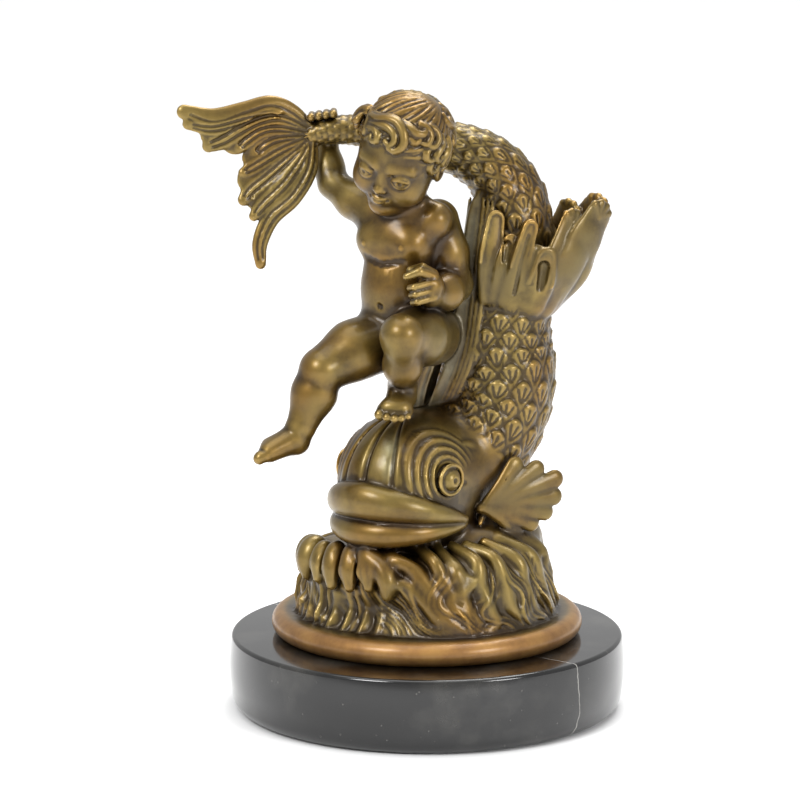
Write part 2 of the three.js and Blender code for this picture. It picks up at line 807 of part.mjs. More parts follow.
function gillEdge(clay, side) {
  const points = [];
  for (let i = 0; i <= 12; i++) {
    const a = THREE.MathUtils.degToRad(11.5 * i - 58);
    const place = [-5 - 17.5 * Math.cos(a), side * (25 - 6.5 * Math.cos(a) ** 2), 17 * Math.sin(a) - 1];
    points.push([...fishPose.at(place), i % 12 ? 1.6 : 0.8]);
  }
  clay.join(strand(points, 2), 1.5);
}

function pectoralFan(clay, side) {
  const root = [-13, side * 24, -9.5];
  for (let i = 0; i < 7; i++) {
    const a = THREE.MathUtils.degToRad(62 - 19 * i);
    const length = 31 - 3 * Math.abs(i - 2);
    const out = side * (0.55 * length * Math.cos(a) + 1.5);
    const tip = plus(root, [-0.8 * length * Math.cos(a) - 2, out, 0.66 * length * Math.sin(a) + 1]);
    const middle = plus(times(plus(root, tip), 0.5), [0, 1.2 * side, 0.6]);
    const points = [
      [...fishPose.at(root), 1.4, 1.6],
      [...fishPose.at(middle), 2.6, 1.6],
      [...fishPose.at(tip), 3.6, 1.5],
    ];
    clay.join(strand(points, 4, fishPose.turn([0.5, 0.86 * side, 0.1])), 0.9);
  }
}

// The dolphin's body: x, y, z and radius along its middle, from the head to the tail.
const bodyLine = [
  [-2, -6, 60, 21], [12, 5, 68, 23.3], [22.5, 11, 82, 23], [26.5, 13, 97, 22.8],
  [26.2, 13, 112, 21.3], [28.5, 12.5, 128, 19], [32.2, 12, 146, 16.4], [33, 12, 158, 14.6],
  [30.2, 12, 169.5, 13], [24, 11.5, 177.8, 11.6], [15.5, 11, 183, 10.4], [7, 10, 185.8, 9.2],
  [-10, 9, 189.6, 7], [-27, 8, 191.6, 5.4], [-37, 7, 191.2, 4.4], [-43.5, 6, 190.4, 4],
];

function fishBody(clay) {
  clay.join(strand(bodyLine, 5), 5);
}

// Each blade of the tail fin: x, y, z and half width from the root to the tip.
const tailBlades = [
  [[-43, 5.5, 192, 2], [-50.9, 4, 199, 3.4], [-59, 2, 202, 3.8], [-68.3, 0, 199.6, 4.2], [-80, -2, 196.4, 5],
    [-91, -3.5, 199.6, 3.2]],
  [[-43, 5.5, 191.5, 1.6], [-54.2, 3.5, 196.8, 2.4], [-62.1, 2, 196.4, 3], [-70.3, 0, 192.8, 3.4],
    [-76.4, -1, 189.3, 3.4], [-82, -2, 187.2, 2.5]],
  [[-43, 5.5, 190.5, 1.6], [-55.4, 3.5, 193, 2.2], [-62.1, 2, 192.3, 2.5], [-67.7, 1, 188.9, 2.6],
    [-70.6, 0, 186.3, 2]],
  [[-43, 5.5, 190, 1.6], [-55.4, 3.5, 189.2, 2.2], [-60.6, 2.5, 187.2, 2.6], [-64.6, 2, 184, 1.6]],
  [[-43, 5.5, 190, 1.6], [-53.9, 3.5, 185.4, 2.4], [-60.7, 2, 181.6, 2.7], [-65.9, 1, 178.6, 2.5],
    [-69.2, 0, 177, 1.8]],
  [[-43, 5.5, 189.5, 1.6], [-51.7, 3.5, 182.2, 2.4], [-59.2, 2, 175.8, 3], [-66, 0.5, 170.4, 3.2],
    [-69, -1, 166.8, 2.4]],
  [[-43, 5.5, 189, 1.6], [-47.9, 3, 180.2, 2.6], [-53.9, 1, 172.2, 3.1], [-61.2, 0, 165.2, 3.2],
    [-65.2, -1, 160.6, 2]],
  [[-43, 5.5, 190, 2], [-44.2, 3, 177.8, 2.9], [-50.4, 1, 167.4, 3.2], [-58.8, 0, 159.8, 3.4],
    [-63, -1.5, 150.4, 3], [-62.8, -2, 142.6, 2.1]],
];

function tailFin(clay) {
  for (const blade of tailBlades) {
    const last = blade.length - 1;
    const points = blade.map((p, i) => [...p, i === 0 ? 2.2 : i === last ? 1.3 : 1.7]);
    clay.join(strand(points, 5, [0.15, -1, 0.1]), 0.9);
  }
}

// Each leaf of the fin round the body: x, y, z and half width at its root, middle and tip.
const leafBlades = [
  [[24, -6, 132, 5.2], [23.6, -7.4, 146, 5], [25.4, -6, 160, 3.4]],
  [[31.5, -6.4, 129.5, 5], [34.5, -9.4, 144, 4.4], [38.2, -8.6, 157.5, 2.8]],
  [[39, -4.4, 127.5, 5.5], [42.5, -7.8, 137, 5.2], [44.3, -8, 145.5, 3.6]],
  [[43.5, -0.5, 126, 6], [49, -4, 143, 6], [53.4, -2, 159, 4]],
  [[46, 5, 126, 5.5], [56, 0, 146, 6.6], [64.4, 3, 161.4, 4.6]],
  [[47, 10, 126, 4.5], [56, 8, 138, 5], [62.5, 9.5, 149.5, 3.2]],
];
const leafWebs = [ // the sheet between the leaves: the same, from the root to where they part
  [[28, -6.4, 131, 4.6], [29, -8.2, 141, 4.2], [31, -8.2, 150, 2]],
  [[35.5, -5.6, 128.5, 4.4], [38.5, -8.6, 138, 4], [41, -8.4, 147, 2.6]],
  [[41, -2.6, 127, 5], [46, -6.2, 138, 5], [49, -5.4, 150, 3]],
  [[45, 2.5, 126, 6], [53, -2.5, 142, 6], [59, 0.5, 154.5, 3.5]],
  [[47, 8, 126, 5], [56.5, 4, 138, 5], [62, 6, 150, 3.4]],
];
const leafDepths = [2, 1.8, 1.4];
const leafOpenings = [
  [[28.6, -8, 143.5, 2.2], [29.8, -8, 150, 2.6]],
  [[42.4, -9, 134.5, 3], [43.8, -8.5, 142.5, 3.4]],
];
const finMiddle = 12; // the leaves on the far side mirror the near ones about this y

function leafFin(clay) {
  for (const side of sides) {
    const mirrored = (y) => finMiddle + (y - finMiddle) * side;
    for (const blade of [...leafBlades, ...leafWebs]) {
      const across = blade[0][0] < 40 ? [0.25, -side, -0.15] : [0.5, -0.8 * side, -0.35];
      const points = blade.map(([x, y, z, w], i) => [x, mirrored(y), z, w, leafDepths[i]]);
      clay.join(strand(points, 5, across), 1.2);
    }
    for (const opening of leafOpenings) {
      const [a, b] = opening.map(([x, y, z, r]) => [x, mirrored(y) - 3 * side, z, r]);
      clay.cut(limb(a.slice(0, 3), b.slice(0, 3), a[3], b[3]), 0.8);
    }
  }
}

// The long fin between the putto and the dolphin's neck: one strand and four beside it.
const dorsalLine = [
  [-0.5, -3, 84.5, 1.2], [4.8, -6, 92.5, 2.2], [11, -7.5, 106, 2.6], [13, -6, 120, 2.6],
  [14, -3.5, 134, 2.4], [14.8, -1, 148, 2.2], [15.7, 2, 160, 1.8], [16, 4, 166, 1],
];
const dorsalBeside = [[2.6, -2.2, 2], [5, -3.8, 3], [-0.5, 3.5, 0], [0.5, 7.5, 0]];

function dorsalFin(clay) {
  clay.join(strand(dorsalLine, 4), 1.5);
  for (const [dx, dy, dz] of dorsalBeside) {
    clay.join(strand(dorsalLine.map(([x, y, z, r]) => [x + dx, y + dy, z + dz, 0.82 * r]), 4), 1.2);
  }
}

// The putto's trunk leans back and is turned to the viewer's left.
const torsoPose = new Pose([-10, -10, 140], [-0.53, -0.85, 0], [0.05, 0, 1]);

function torso(clay) {
  const at = (f, l, u) => torsoPose.at([f, l, u]);
  clay.add(egg(torsoPose, [0.5, -0.6, 15], [11.5, 15, 13.5]), 3);
  clay.add(limb(at(0.5, -0.5, 12), at(0.5, -0.5, -12), 12, 12.2), 6);
  clay.add(egg(torsoPose, [3.2, 0, -5], [11.2, 12.6, 13.5]), 6);
  clay.add(egg(torsoPose, [-0.5, -1, -21], [12, 15, 10.5]), 6);
  for (const side of sides) {
    clay.add(ball(at(5.6, 7.6 * side - 0.6, 13), 7.2), 3);
    clay.add(limb(at(0, 5 * side, 25.5), at(-1, 13 * side, 22), 5.5, 7), 4);
    clay.add(ball(at(12.7, 8.2 * side - 0.6, 12.2), 0.8), 0.8);
    clay.add(egg(torsoPose, [-6.5, 5.2 * side - 0.8, -27], [9, 8, 8]), 3);
  }
  clay.cut(ball(at(14.6, 0.3, -10.5), 0.95), 1.2);
  clay.add(ball(at(10, 0, -23), 2.6), 2);
  clay.add(limb([-8.5, -12, 162], [-8, -17, 173], 7, 7.2), 4);
}

// The leg on the viewer's right is drawn up, with its foot on the dolphin's forehead.
const bentToes = [
  [-17.9, -34.6, 91], [-15.2, -36.8, 90.4], [-12.4, -37.6, 90], [-9.8, -37, 90], [-7.4, -35.4, 90.4],
];

function bentLeg(clay) {
  const [hip, thigh, knee] = [[0.5, -8, 116.5], [-3.5, -24, 118.5], [-9.5, -37.5, 121]];
  const [shin, calf, ankle] = [[-9.6, -38, 117], [-9.4, -32, 109], [-9.2, -22, 99.5]];
  clay.join([limb(hip, thigh, 11.8, 10.8), limb(thigh, knee, 10.8, 8.4)], 3, 3);
  clay.add(ball([-9.8, -40, 122], 6.6), 3);
  clay.join([limb(shin, calf, 6.6, 6.9), limb(calf, ankle, 6.9, 4.7)], 2, 3);
  const foot = [
    limb(ankle, [-9, -21, 95.5], 4.6, 4.2),
    limb(plus(ankle, [0, -1.5, -0.5]), [-12.8, -32, 93], 4.6, 3.4),
    limb([-9, -24.5, 95], [-10, -32, 92.8], 4, 3.4),
    limb([-10, -32.5, 92.6], [-15, -32.6, 93], 3.2, 3),
  ];
  clay.join(foot, 2, 2.5);
  bentToes.forEach((tip, i) => {
    const r = i === 0 ? 1.9 : 1.5 - 0.08 * i;
    clay.add(limb(plus(tip, [0.9, 3.6, 1.6]), tip, r, r), 0.9);
    clay.add(ball(tip, 1.05 * r), 0.3);
  });
}

// The leg on the viewer's left hangs free.
function hangingLeg(clay) {
  const [hip, thigh, knee] = [[-16, -12.5, 115.5], [-27.5, -19.5, 112.5], [-38.6, -25.5, 106.5]];
  const [shin, calf, ankle] = [[-40, -25.8, 105.5], [-42.3, -26.5, 97.5], [-46.9, -29, 86]];
  clay.join([limb(hip, thigh, 12.2, 11), limb(thigh, knee, 11, 8.8)], 3, 3);
  clay.add(ball([-40, -28, 106.5], 6.6), 3);
  clay.join([limb(shin, calf, 7.6, 8.2), limb(calf, ankle, 8.2, 5.7)], 1.6, 3);
  const foot = [
    limb(plus(ankle, [-0.6, 0, -1]), [-48.6, -28, 79.6], 5.2, 4.8),
    limb([-50, -30, 80.6], [-57.6, -34, 77.4], 4.9, 4),
  ];
  clay.join(foot, 1.4, 2.5);
  for (let i = 0; i < 5; i++) {
    const base = plus([-58.6, -37, 76.8], times([0.15, 1.75, -0.22], i));
    const r = i === 0 ? 1.85 : 1.4;
    clay.add(limb(base, plus(base, [0.3 * i - 3.5, -1.5, -1.1]), r, 0.95 * r), 0.7);
  }
}

// The arm on the viewer's right is bent, with a fist before the belly.
function bentArm(clay) {
  const [shoulder, upper, elbow] = [[3.8, -7.5, 160], [7.5, -8.5, 148], [9.6, -9.5, 136]];
  const [fore, wrist] = [[6.5, -17, 134.5], [0.8, -26.5, 135]];
  clay.join([limb(shoulder, upper, 8, 7.6), limb(upper, elbow, 7.6, 7.2)], 3, 3);
  clay.join([limb(elbow, fore, 7, 6.9), limb(fore, wrist, 6.9, 4.7)], 2, 3);
  clay.add(limb([-0.6, -28.5, 140], [-1, -29, 134], 4.6, 4.2), 1.5);
  for (let i = 0; i < 4; i++) {
    const z = 140.2 - 2.75 * i;
    const x = 0.55 * i - 6.4;
    clay.add(limb([0.1 * i - 1, -32.4, z + 0.4], [x - 0.6, -33, z + 0.3], 1.65, 1.55), 0.5);
    clay.add(limb([x - 0.6, -33, z + 0.3], [x + 0.8, -29.8, z], 1.5, 1.4), 0.4);
  }
  clay.add(limb([1, -30.5, 142.2], [-5, -33, 145], 2, 1.75), 0.8);
  clay.add(limb([-5, -33, 145], [-8.3, -33.5, 143.8], 1.75, 1.55), 0.6);
}

// The arm on the viewer's left is raised, and its hand holds the root of the tail.
function raisedArm(clay) {
  const [shoulder, upper, elbow] = [[-19.5, -6, 162.5], [-27.5, 1.5, 166.2], [-35.5, 8, 171.8]];
  const [fore, wrist] = [[-37.2, 11, 178], [-37.6, 13.3, 186]];
  clay.join([limb(shoulder, upper, 7.4, 6.7), limb(upper, elbow, 6.7, 5.7)], 3.5, 3);
  clay.join([limb(elbow, fore, 5.7, 5.4), limb(fore, wrist, 5.4, 3.7)], 1.6, 3);
  const palm = limb([-41.2, 13.2, 193.5], [-35.8, 13.2, 194.2], 2.6, 2.6);
  clay.join([limb(wrist, [-38.2, 13.8, 192], 3.7, 4.2), palm], 1.5, 2);
  for (let i = 0; i < 4; i++) {
    const x = 2.75 * i - 43.6;
    const z = 0.42 * i + 197;
    clay.add(limb([x + 0.4, 11.5, z - 2.2], [x + 0.1, 7.5, z + 1], 1.4, 1.35), 0.3);
    clay.add(limb([x + 0.1, 7.5, z + 1], [x, 3.6, z + 0.6], 1.3, 1.3), 0.2);
    clay.add(ball([x, 2.6, z + 0.5], 1.6), 0.15);
  }
}

// The putto's head looks down to the viewer's left.
const headPose = new Pose([-9.6, -20.3, 188], [-0.425, -0.833, -0.36], [0.126, -0.448, 0.8875]);

function head(clay) {
  const at = (f, l, u) => headPose.at([f, l, u]);
  clay.add(egg(headPose, [-1, 0, 2.5], [17.4, 15.6, 15.8]), 2);
  clay.add(egg(headPose, [4, 0, -5.5], [13.2, 14, 13.6]), 4);
  clay.add(egg(headPose, [11.5, 0, -18], [4.6, 5, 4]), 3);
  clay.add(egg(headPose, [6.5, 0, -17.5], [7.5, 7.5, 4.5]), 3);
  for (const side of sides) {
    clay.add(egg(headPose, [7.5, 7.6 * side, -8.5], [7.6, 6.6, 7]), 3);
    clay.cut(egg(headPose, [18.8, 6.9 * side, -2.8], [3.4, 4.6, 3]), 3);
    clay.add(limb(at(16.2, 3 * side, 1.2), at(13.4, 10.5 * side, 0.8), 1.4, 1.3), 2.4);
    clay.add(ball(at(14.3, 6.7 * side, -3), 3.1), 0.5);
    clay.add(egg(headPose, [-1.5, 15.2 * side, -4.4], [3.2, 1.6, 4.4]), 1);
  }
  clay.add(limb(at(16, 0, -1), at(18.6, 0, -7.6), 1.5, 1.9), 1.8);
  clay.add(ball(at(18.7, 0, -8.2), 2.2), 1);
  for (const side of sides) clay.add(ball(at(17, 2.2 * side, -8.7), 1.5), 0.8);
  clay.add(egg(headPose, [14.6, 0, -13.2], [3.2, 4.6, 3]), 2);
  for (const u of [-12.1, -14]) clay.add(limb(at(17.2, -2.6, u), at(17.2, 2.6, u), 0.95, 0.95), 0.6);
  clay.add(egg(headPose, [-2.6, 0, 4.2], [17.2, 16, 15.2]), 1.2);
}

// Three rings of locks run from the crown to the hair line and hook at their ends.
const hairMiddle = [-2.4, 0, 4.2];
const hairRadii = [17.6, 16.4, 16.4];
const hairRings = [
  { start: 1.35, end: 0.66, count: 11, radius: 1.7 },
  { start: 0.95, end: 0.12, count: 17, radius: 1.9 },
  { start: 0.45, end: -0.42, count: 15, radius: 1.9 },
];

function onHair(bearing, rise, lift) {
  const [cf, sf] = [Math.cos(bearing), Math.sin(bearing)];
  const direction = [Math.cos(rise) * cf, Math.cos(rise) * sf, Math.sin(rise)];
  return headPose.at(direction.map((v, i) => hairMiddle[i] + v * (hairRadii[i] + lift)));
}

function hair(clay) {
  const steps = 6;
  hairRings.forEach(({ start, end, count, radius }, ring) => {
    for (let i = 0; i < count; i++) {
      const bearing = (2 * Math.PI * (i + 0.5 * ring)) / count + 0.08 * Math.sin(7 * i + ring);
      const front = Math.max(0, Math.cos(bearing));
      if (ring === 2 && front > 0.55) continue;
      const low = end + (ring === 2 ? 0.25 * front : 0.42 * front * front);
      const swirl = (Math.sin(5 * i + 2 * ring) < 0 ? -1 : 1) * (0.2 + 0.06 * Math.sin(3 * i));
      const points = [];
      for (let j = 0; j <= steps; j++) {
        const t = j / steps;
        const rise = start + (low - start) * Math.min(1, 1.25 * t) + 1.1 * Math.max(0, t - 0.8);
        const round = bearing + 3.2 * swirl * Math.max(0, t - 0.35) ** 2;
        const thick = (0.55 + 0.6 * Math.sin(Math.PI * Math.min(1, t + 0.15))) * (1 - 0.45 * t ** 3);
        const lift = 0.2 + 1.04 * Math.sin(Math.PI * t) + 0.8 * t;
        points.push([...onHair(round, rise, lift), radius * thick]);
      }
      clay.join(strand(points, 2), 0.5);
    }
  });
}

// The whole figure above the moulding, as a closed surface in the drawing's millimetres.
function figureSurface() {
  const reach = Math.max(waveFoot + 8, 62);
  const [low, high] = [[-100, -reach, waveSink - 4], [Math.max(reach, 76), reach, 215]];
  const clay = new Clay(low, high, [-32, -44, 160], [14, 4, 213]);
  waves(clay);
  fishBody(clay);
  fishHead(clay);
  dorsalFin(clay);
  leafFin(clay);
  tailFin(clay);
  torso(clay);
  bentLeg(clay);
  hangingLeg(clay);
  bentArm(clay);
  raisedArm(clay);
  head(clay);
  hair(clay);
  const nearHead = (x, y, z) => (Math.hypot(x + 11, y + 24, z - 186) < 25 ? 5 : 1);
  const nearWaves = (z) => (z < waveTop ? 0.28 : 1);
  const care = (x, y, z) => nearHead(x, y, z) * nearWaves(z);
  return simplify(largestBody(surfaceOf(clay)), figureTriangles, care);
}

function figureGeometry() {
  const { points, faces } = figureSurface();
  const geometry = new THREE.BufferGeometry();
  geometry.setAttribute("position", new THREE.Float32BufferAttribute(points, 3));
  geometry.setIndex(Array.from(faces));
  return geometry.scale(share, share, share);
}

// A body turned about +Z from a profile of [radius, height].
function turned(profile, segments) {
  const geometry = new THREE.LatheGeometry(profile.map(([r, z]) => new THREE.Vector2(r, z)), segments);
  return geometry.rotateX(Math.PI / 2);
}

// Points of a quarter round from one angle to another, in degrees.
function roundEdge(centreR, centreZ, radius, from, to, steps) {
  const points = [];
  for (let i = 0; i <= steps; i++) {
    const a = THREE.MathUtils.degToRad(mix(from, to, i / steps));
    points.push([centreR + radius * Math.cos(a), centreZ + radius * Math.sin(a)]);
  }
  return points;
}

function plinthGeometry() {
  const footRadius = plinthRadius - plinthFootInset;
  const topRadius = plinthRadius - plinthTopInset;
  const middle = (plinthFootEdge + plinthHeight - plinthTopEdge) / 2;
  const profile = [
    [0, 0],
    ...roundEdge(footRadius - plinthFootEdge, plinthFootEdge, plinthFootEdge, -90, 0, 3),
    [plinthRadius, middle],
    ...roundEdge(topRadius - plinthTopEdge, plinthHeight - plinthTopEdge, plinthTopEdge, 0, 90, 2),
    [0, plinthHeight],
  ];
  return turned(profile, plinthSides);
}

function rimGeometry() {
  const round = rimHeight / 2;
  const moulding = roundEdge(rimRadius - round, round, round, -90, 90, 6);
  return turned([[0, 0], ...moulding, [0, rimHeight]], rimSides);
}

// A closed geometry as a solid that can be joined, and back.
function solidOf(geometry) {
  const triVerts = new Uint32Array(geometry.index.array);
  const vertProperties = new Float32Array(geometry.getAttribute("position").array);
  const mesh = new wasm.Mesh({ numProp: 3, vertProperties, triVerts });
  mesh.merge();
  return new wasm.Manifold(mesh);
}

function geometryOf(solid) {
  const { vertProperties, triVerts } = solid.getMesh();
  const geometry = new THREE.BufferGeometry();
  geometry.setAttribute("position", new THREE.BufferAttribute(new Float32Array(vertProperties), 3));
  geometry.setIndex(new THREE.BufferAttribute(new Uint32Array(triVerts), 1));
  geometry.computeVertexNormals();
  return geometry;
}

// Materials.
const bronze = new THREE.MeshStandardMaterial({ color: "#6d5229", roughness: 0.42, metalness: 0.9 });
const marble = new THREE.MeshStandardMaterial({ color: "#17181b", roughness: 0.16, metalness: 0 });

const group = new THREE.Group();

const plinthMesh = new THREE.Mesh(plinthGeometry(), marble);
plinthMesh.name = "marble_plinth";
group.add(plinthMesh);

const casting = solidOf(figureGeometry()).add(solidOf(rimGeometry()));
const bronzeMesh = new THREE.Mesh(geometryOf(casting), bronze);
bronzeMesh.name = "bronze_putto_and_dolphin";
bronzeMesh.position.z = plinthHeight;
group.add(bronzeMesh);

export default group;
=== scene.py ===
import math

import bpy
import numpy as np
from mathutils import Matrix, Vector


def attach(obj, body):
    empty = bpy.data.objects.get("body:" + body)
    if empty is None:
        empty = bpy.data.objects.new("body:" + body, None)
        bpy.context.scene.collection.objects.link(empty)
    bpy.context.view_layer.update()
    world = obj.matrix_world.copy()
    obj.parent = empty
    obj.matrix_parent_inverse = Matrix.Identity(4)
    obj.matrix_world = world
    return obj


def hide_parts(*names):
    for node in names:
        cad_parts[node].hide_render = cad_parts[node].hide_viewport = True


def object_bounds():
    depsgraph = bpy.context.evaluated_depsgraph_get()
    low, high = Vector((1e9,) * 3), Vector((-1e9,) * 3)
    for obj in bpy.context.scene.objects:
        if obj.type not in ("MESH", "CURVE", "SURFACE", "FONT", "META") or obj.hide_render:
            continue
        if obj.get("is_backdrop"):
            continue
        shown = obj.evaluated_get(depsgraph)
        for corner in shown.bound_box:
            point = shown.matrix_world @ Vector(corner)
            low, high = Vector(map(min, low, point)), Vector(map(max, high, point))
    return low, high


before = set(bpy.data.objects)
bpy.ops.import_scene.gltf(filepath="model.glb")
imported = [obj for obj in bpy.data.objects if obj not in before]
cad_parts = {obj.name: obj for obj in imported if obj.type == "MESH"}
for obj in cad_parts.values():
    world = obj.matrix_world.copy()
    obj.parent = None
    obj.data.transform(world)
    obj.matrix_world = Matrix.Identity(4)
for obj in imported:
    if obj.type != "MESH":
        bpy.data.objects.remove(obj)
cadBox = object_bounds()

import openvdb
from mathutils import Vector

scene = bpy.context.scene
print("frame loaded")


# Colours are written as sRGB hex and used as linear values.
def colour(text):
    parts = [int(text[i:i + 2], 16) / 255 for i in (1, 3, 5)]
    return [c / 12.92 if c <= 0.04045 else ((c + 0.055) / 1.055) ** 2.4 for c in parts] + [1]


# The bronze is modelled in clay: a grid of distances to the surface, in millimetres.
# z = 0 is the top of the plinth, +x the viewer's right, +y away from the viewer.
clayGrid = {
    "low": (-98, -63, -2), "high": (73, 63, 214), "cell": 0.58,
    "fineLow": (-31, -42, 160), "fineHigh": (12, 4, 213), "fineCell": 0.42,
    "quickCell": 1.0, "quickFineCell": 0.7, "farAway": 30.0,
}


def vec(*p):
    return np.array(p, float)


def unit(v):
    v = np.asarray(v, float)
    return v / np.linalg.norm(v)


# The direction nearest to v that is square to the line.
def squared(v, line):
    line = unit(line)
    return unit(np.asarray(v, float) - line * (np.asarray(v, float) @ line))


# A creature's own frame: forward, its left, and up.
class Pose:
    def __init__(self, origin, forward, up):
        self.origin = np.asarray(origin, float)
        self.axes = np.zeros((3, 3))
        self.axes[0] = unit(forward)
        self.axes[1] = unit(np.cross(up, self.axes[0]))
        self.axes[2] = np.cross(self.axes[0], self.axes[1])

    def turn(self, v):
        return np.asarray(v, float) @ self.axes

    def at(self, *p):
        return self.origin + self.turn(p)

    def local(self, points):
        return ((points - self.origin) @ self.axes.T).T


# Each shape is the low and high corner of a box round it, and its signed distance.
def ball(c, r):
    c = np.asarray(c, float)

    def distance(x, y, z):
        return np.sqrt((x - c[0]) ** 2 + (y - c[1]) ** 2 + (z - c[2]) ** 2) - r
    return c - r, c + r, distance


def egg(pose, place, radii):
    c = pose.at(*place)
    rows = pose.axes / np.asarray(radii, float)[:, None]
    reach = np.sqrt(((pose.axes * np.asarray(radii, float)[:, None]) ** 2).sum(0))

    def distance(x, y, z):
        x, y, z = x - c[0], y - c[1], z - c[2]
        parts = [x * row[0] + y * row[1] + z * row[2] for row in rows]
        k0 = np.sqrt(sum(p * p for p in parts))
        k1 = np.sqrt(sum((p / r) ** 2 for p, r in zip(parts, radii)))
        return k0 * (k0 - 1) / np.maximum(k1, 1e-6)
    return c - reach, c + reach, distance


def alongLimb(a, b):
    ab = b - a
    length2 = float(ab @ ab) + 1e-9

    def place(x, y, z):
        x, y, z = x - a[0], y - a[1], z - a[2]
        t = np.clip((x * ab[0] + y * ab[1] + z * ab[2]) / length2, 0, 1)
        return t, x - t * ab[0], y - t * ab[1], z - t * ab[2]
    return place


def limb(a, b, ra, rb):
    a, b = np.asarray(a, float), np.asarray(b, float)
    place = alongLimb(a, b)

    def distance(x, y, z):
        t, x, y, z = place(x, y, z)
        return np.sqrt(x * x + y * y + z * z) - (ra + t * (rb - ra))
    return np.minimum(a - ra, b - rb), np.maximum(a + ra, b + rb), distance


def flatLimb(a, b, widths, depths, across):
    a, b = np.asarray(a, float), np.asarray(b, float)
    n = squared(across, b - a)
    place = alongLimb(a, b)
    reach = max(widths)

    def distance(x, y, z):
        t, x, y, z = place(x, y, z)
        out = (x * n[0] + y * n[1] + z * n[2]) ** 2
        side = np.maximum(x * x + y * y + z * z - out, 0)
        w2 = (widths[0] + t * (widths[1] - widths[0])) ** 2
        d2 = (depths[0] + t * (depths[1] - depths[0])) ** 2
        k0 = np.sqrt(side / w2 + out / d2)
        k1 = np.sqrt(side / w2 ** 2 + out / d2 ** 2)
        return k0 * (k0 - 1) / np.maximum(k1, 1e-6)
    return np.minimum(a, b) - reach, np.maximum(a, b) + reach, distance


def curve(points, steps):
    p = np.asarray(points, float)
    p = np.vstack([2 * p[0] - p[1], p, 2 * p[-1] - p[-2]])
    t = np.arange(steps)[:, None] / steps
    rows = []
    for a, b, c, d in zip(p, p[1:], p[2:], p[3:]):
        bend = (2 * a - 5 * b + 4 * c - d) * t ** 2 + (3 * b - 3 * c + d - a) * t ** 3
        rows.append(0.5 * (2 * b + (c - a) * t + bend))
    return np.vstack(rows + [p[-2][None]])


# Limbs from point to point through (x, y, z, radius).
def limbs(points):
    return [limb(a[:3], b[:3], a[3], b[3]) for a, b in zip(points, points[1:])]


# Limbs along a curve through (x, y, z, radius), or flat ones through (x, y, z, width, depth).
def strand(points, steps, across=None):
    path = curve(points, steps)
    if across is None:
        return limbs(path)
    return [flatLimb(a[:3], b[:3], (a[3], b[3]), (a[4], b[4]), across) for a, b in zip(path, path[1:])]


def smoothMin(a, b, k):
    if k <= 0:
        return np.minimum(a, b)
    h = np.maximum(k - np.abs(a - b), 0)
    return np.minimum(a, b) - h * h / (4 * k)


def ramp(v, low, high):
    return np.clip((v - low) / (high - low), 0, 1)


def smoothRamp(v, low, high):
    t = ramp(v, low, high)
    return t * t * (3 - 2 * t)


# Shapes are added, cut and joined with fillets of k millimetres.
class Clay:
    def __init__(self, grid):
        cell = grid["cell"]
        fine = grid["fineCell"]
        self.axes = []
        for i in range(3):
            line = [grid["low"][i]]
            while line[-1] < grid["high"][i]:
                inFine = grid["fineLow"][i] <= line[-1] <= grid["fineHigh"][i]
                line.append(line[-1] + (fine if inFine else cell))
            self.axes.append(np.array(line, np.float32))
        self.pad = 2.5 * cell
        self.farAway = grid["farAway"]
        self.field = np.full([len(a) for a in self.axes], self.farAway, np.float32)

    def window(self, low, high, pad):
        cuts = []
        for axis, a, b in zip(self.axes, low, high):
            cuts.append(slice(int(np.searchsorted(axis, a - pad)), int(np.searchsorted(axis, b + pad)) + 1))
        x, y, z = (axis[c] for axis, c in zip(self.axes, cuts))
        return tuple(cuts), x[:, None, None], y[None, :, None], z[None, None, :]

    def add(self, shape, k=0.0):
        cuts, x, y, z = self.window(shape[0], shape[1], k + self.pad)
        self.field[cuts] = smoothMin(self.field[cuts], shape[2](x, y, z).astype(np.float32), k)

    def cut(self, shape, k=0.0):
        cuts, x, y, z = self.window(shape[0], shape[1], k + self.pad)
        self.field[cuts] = -smoothMin(-self.field[cuts], shape[2](x, y, z).astype(np.float32), k)

    # Joins shapes to each other with one fillet and to the clay with another. The relief
    # is a height worked out at each place from the number of the nearest shape.
    def join(self, shapes, k=0.0, inner=0.0, relief=None, band=3.5):
        pad = k + inner + self.pad
        cuts, x, y, z = self.window(np.min([s[0] for s in shapes], 0), np.max([s[1] for s in shapes], 0), pad)
        part = np.full(self.field[cuts].shape, self.farAway, np.float32)
        nearest = np.zeros(part.shape, np.int16) if relief else None
        for n, s in enumerate(shapes):
            own, sx, sy, sz = self.window(s[0], s[1], pad)
            own = tuple(slice(a.start - b.start, a.stop - b.start) for a, b in zip(own, cuts))
            d = s[2](sx, sy, sz).astype(np.float32)
            if relief:
                nearest[own] = np.where(d < part[own], n, nearest[own])
            part[own] = smoothMin(part[own], d, inner)
        if relief:
            near = np.nonzero(np.abs(part) < band)
            points = np.stack([x[near[0], 0, 0], y[0, near[1], 0], z[0, 0, near[2]]], 1).astype(float)
            part[near] -= relief(points, nearest[near].astype(int)).astype(np.float32)
        self.field[cuts] = smoothMin(self.field[cuts], part, k)

    # Raises what is near the surface in a box by a height worked out at each place.
    def raiseBy(self, low, high, height, band=3.5):
        cuts, x, y, z = self.window(low, high, 0)
        part = self.field[cuts]
        near = np.nonzero(np.abs(part) < band)
        points = np.stack([x[near[0], 0, 0], y[0, near[1], 0], z[0, 0, near[2]]], 1).astype(float)
        part[near] -= height(points).astype(np.float32)


sides = (1, -1)

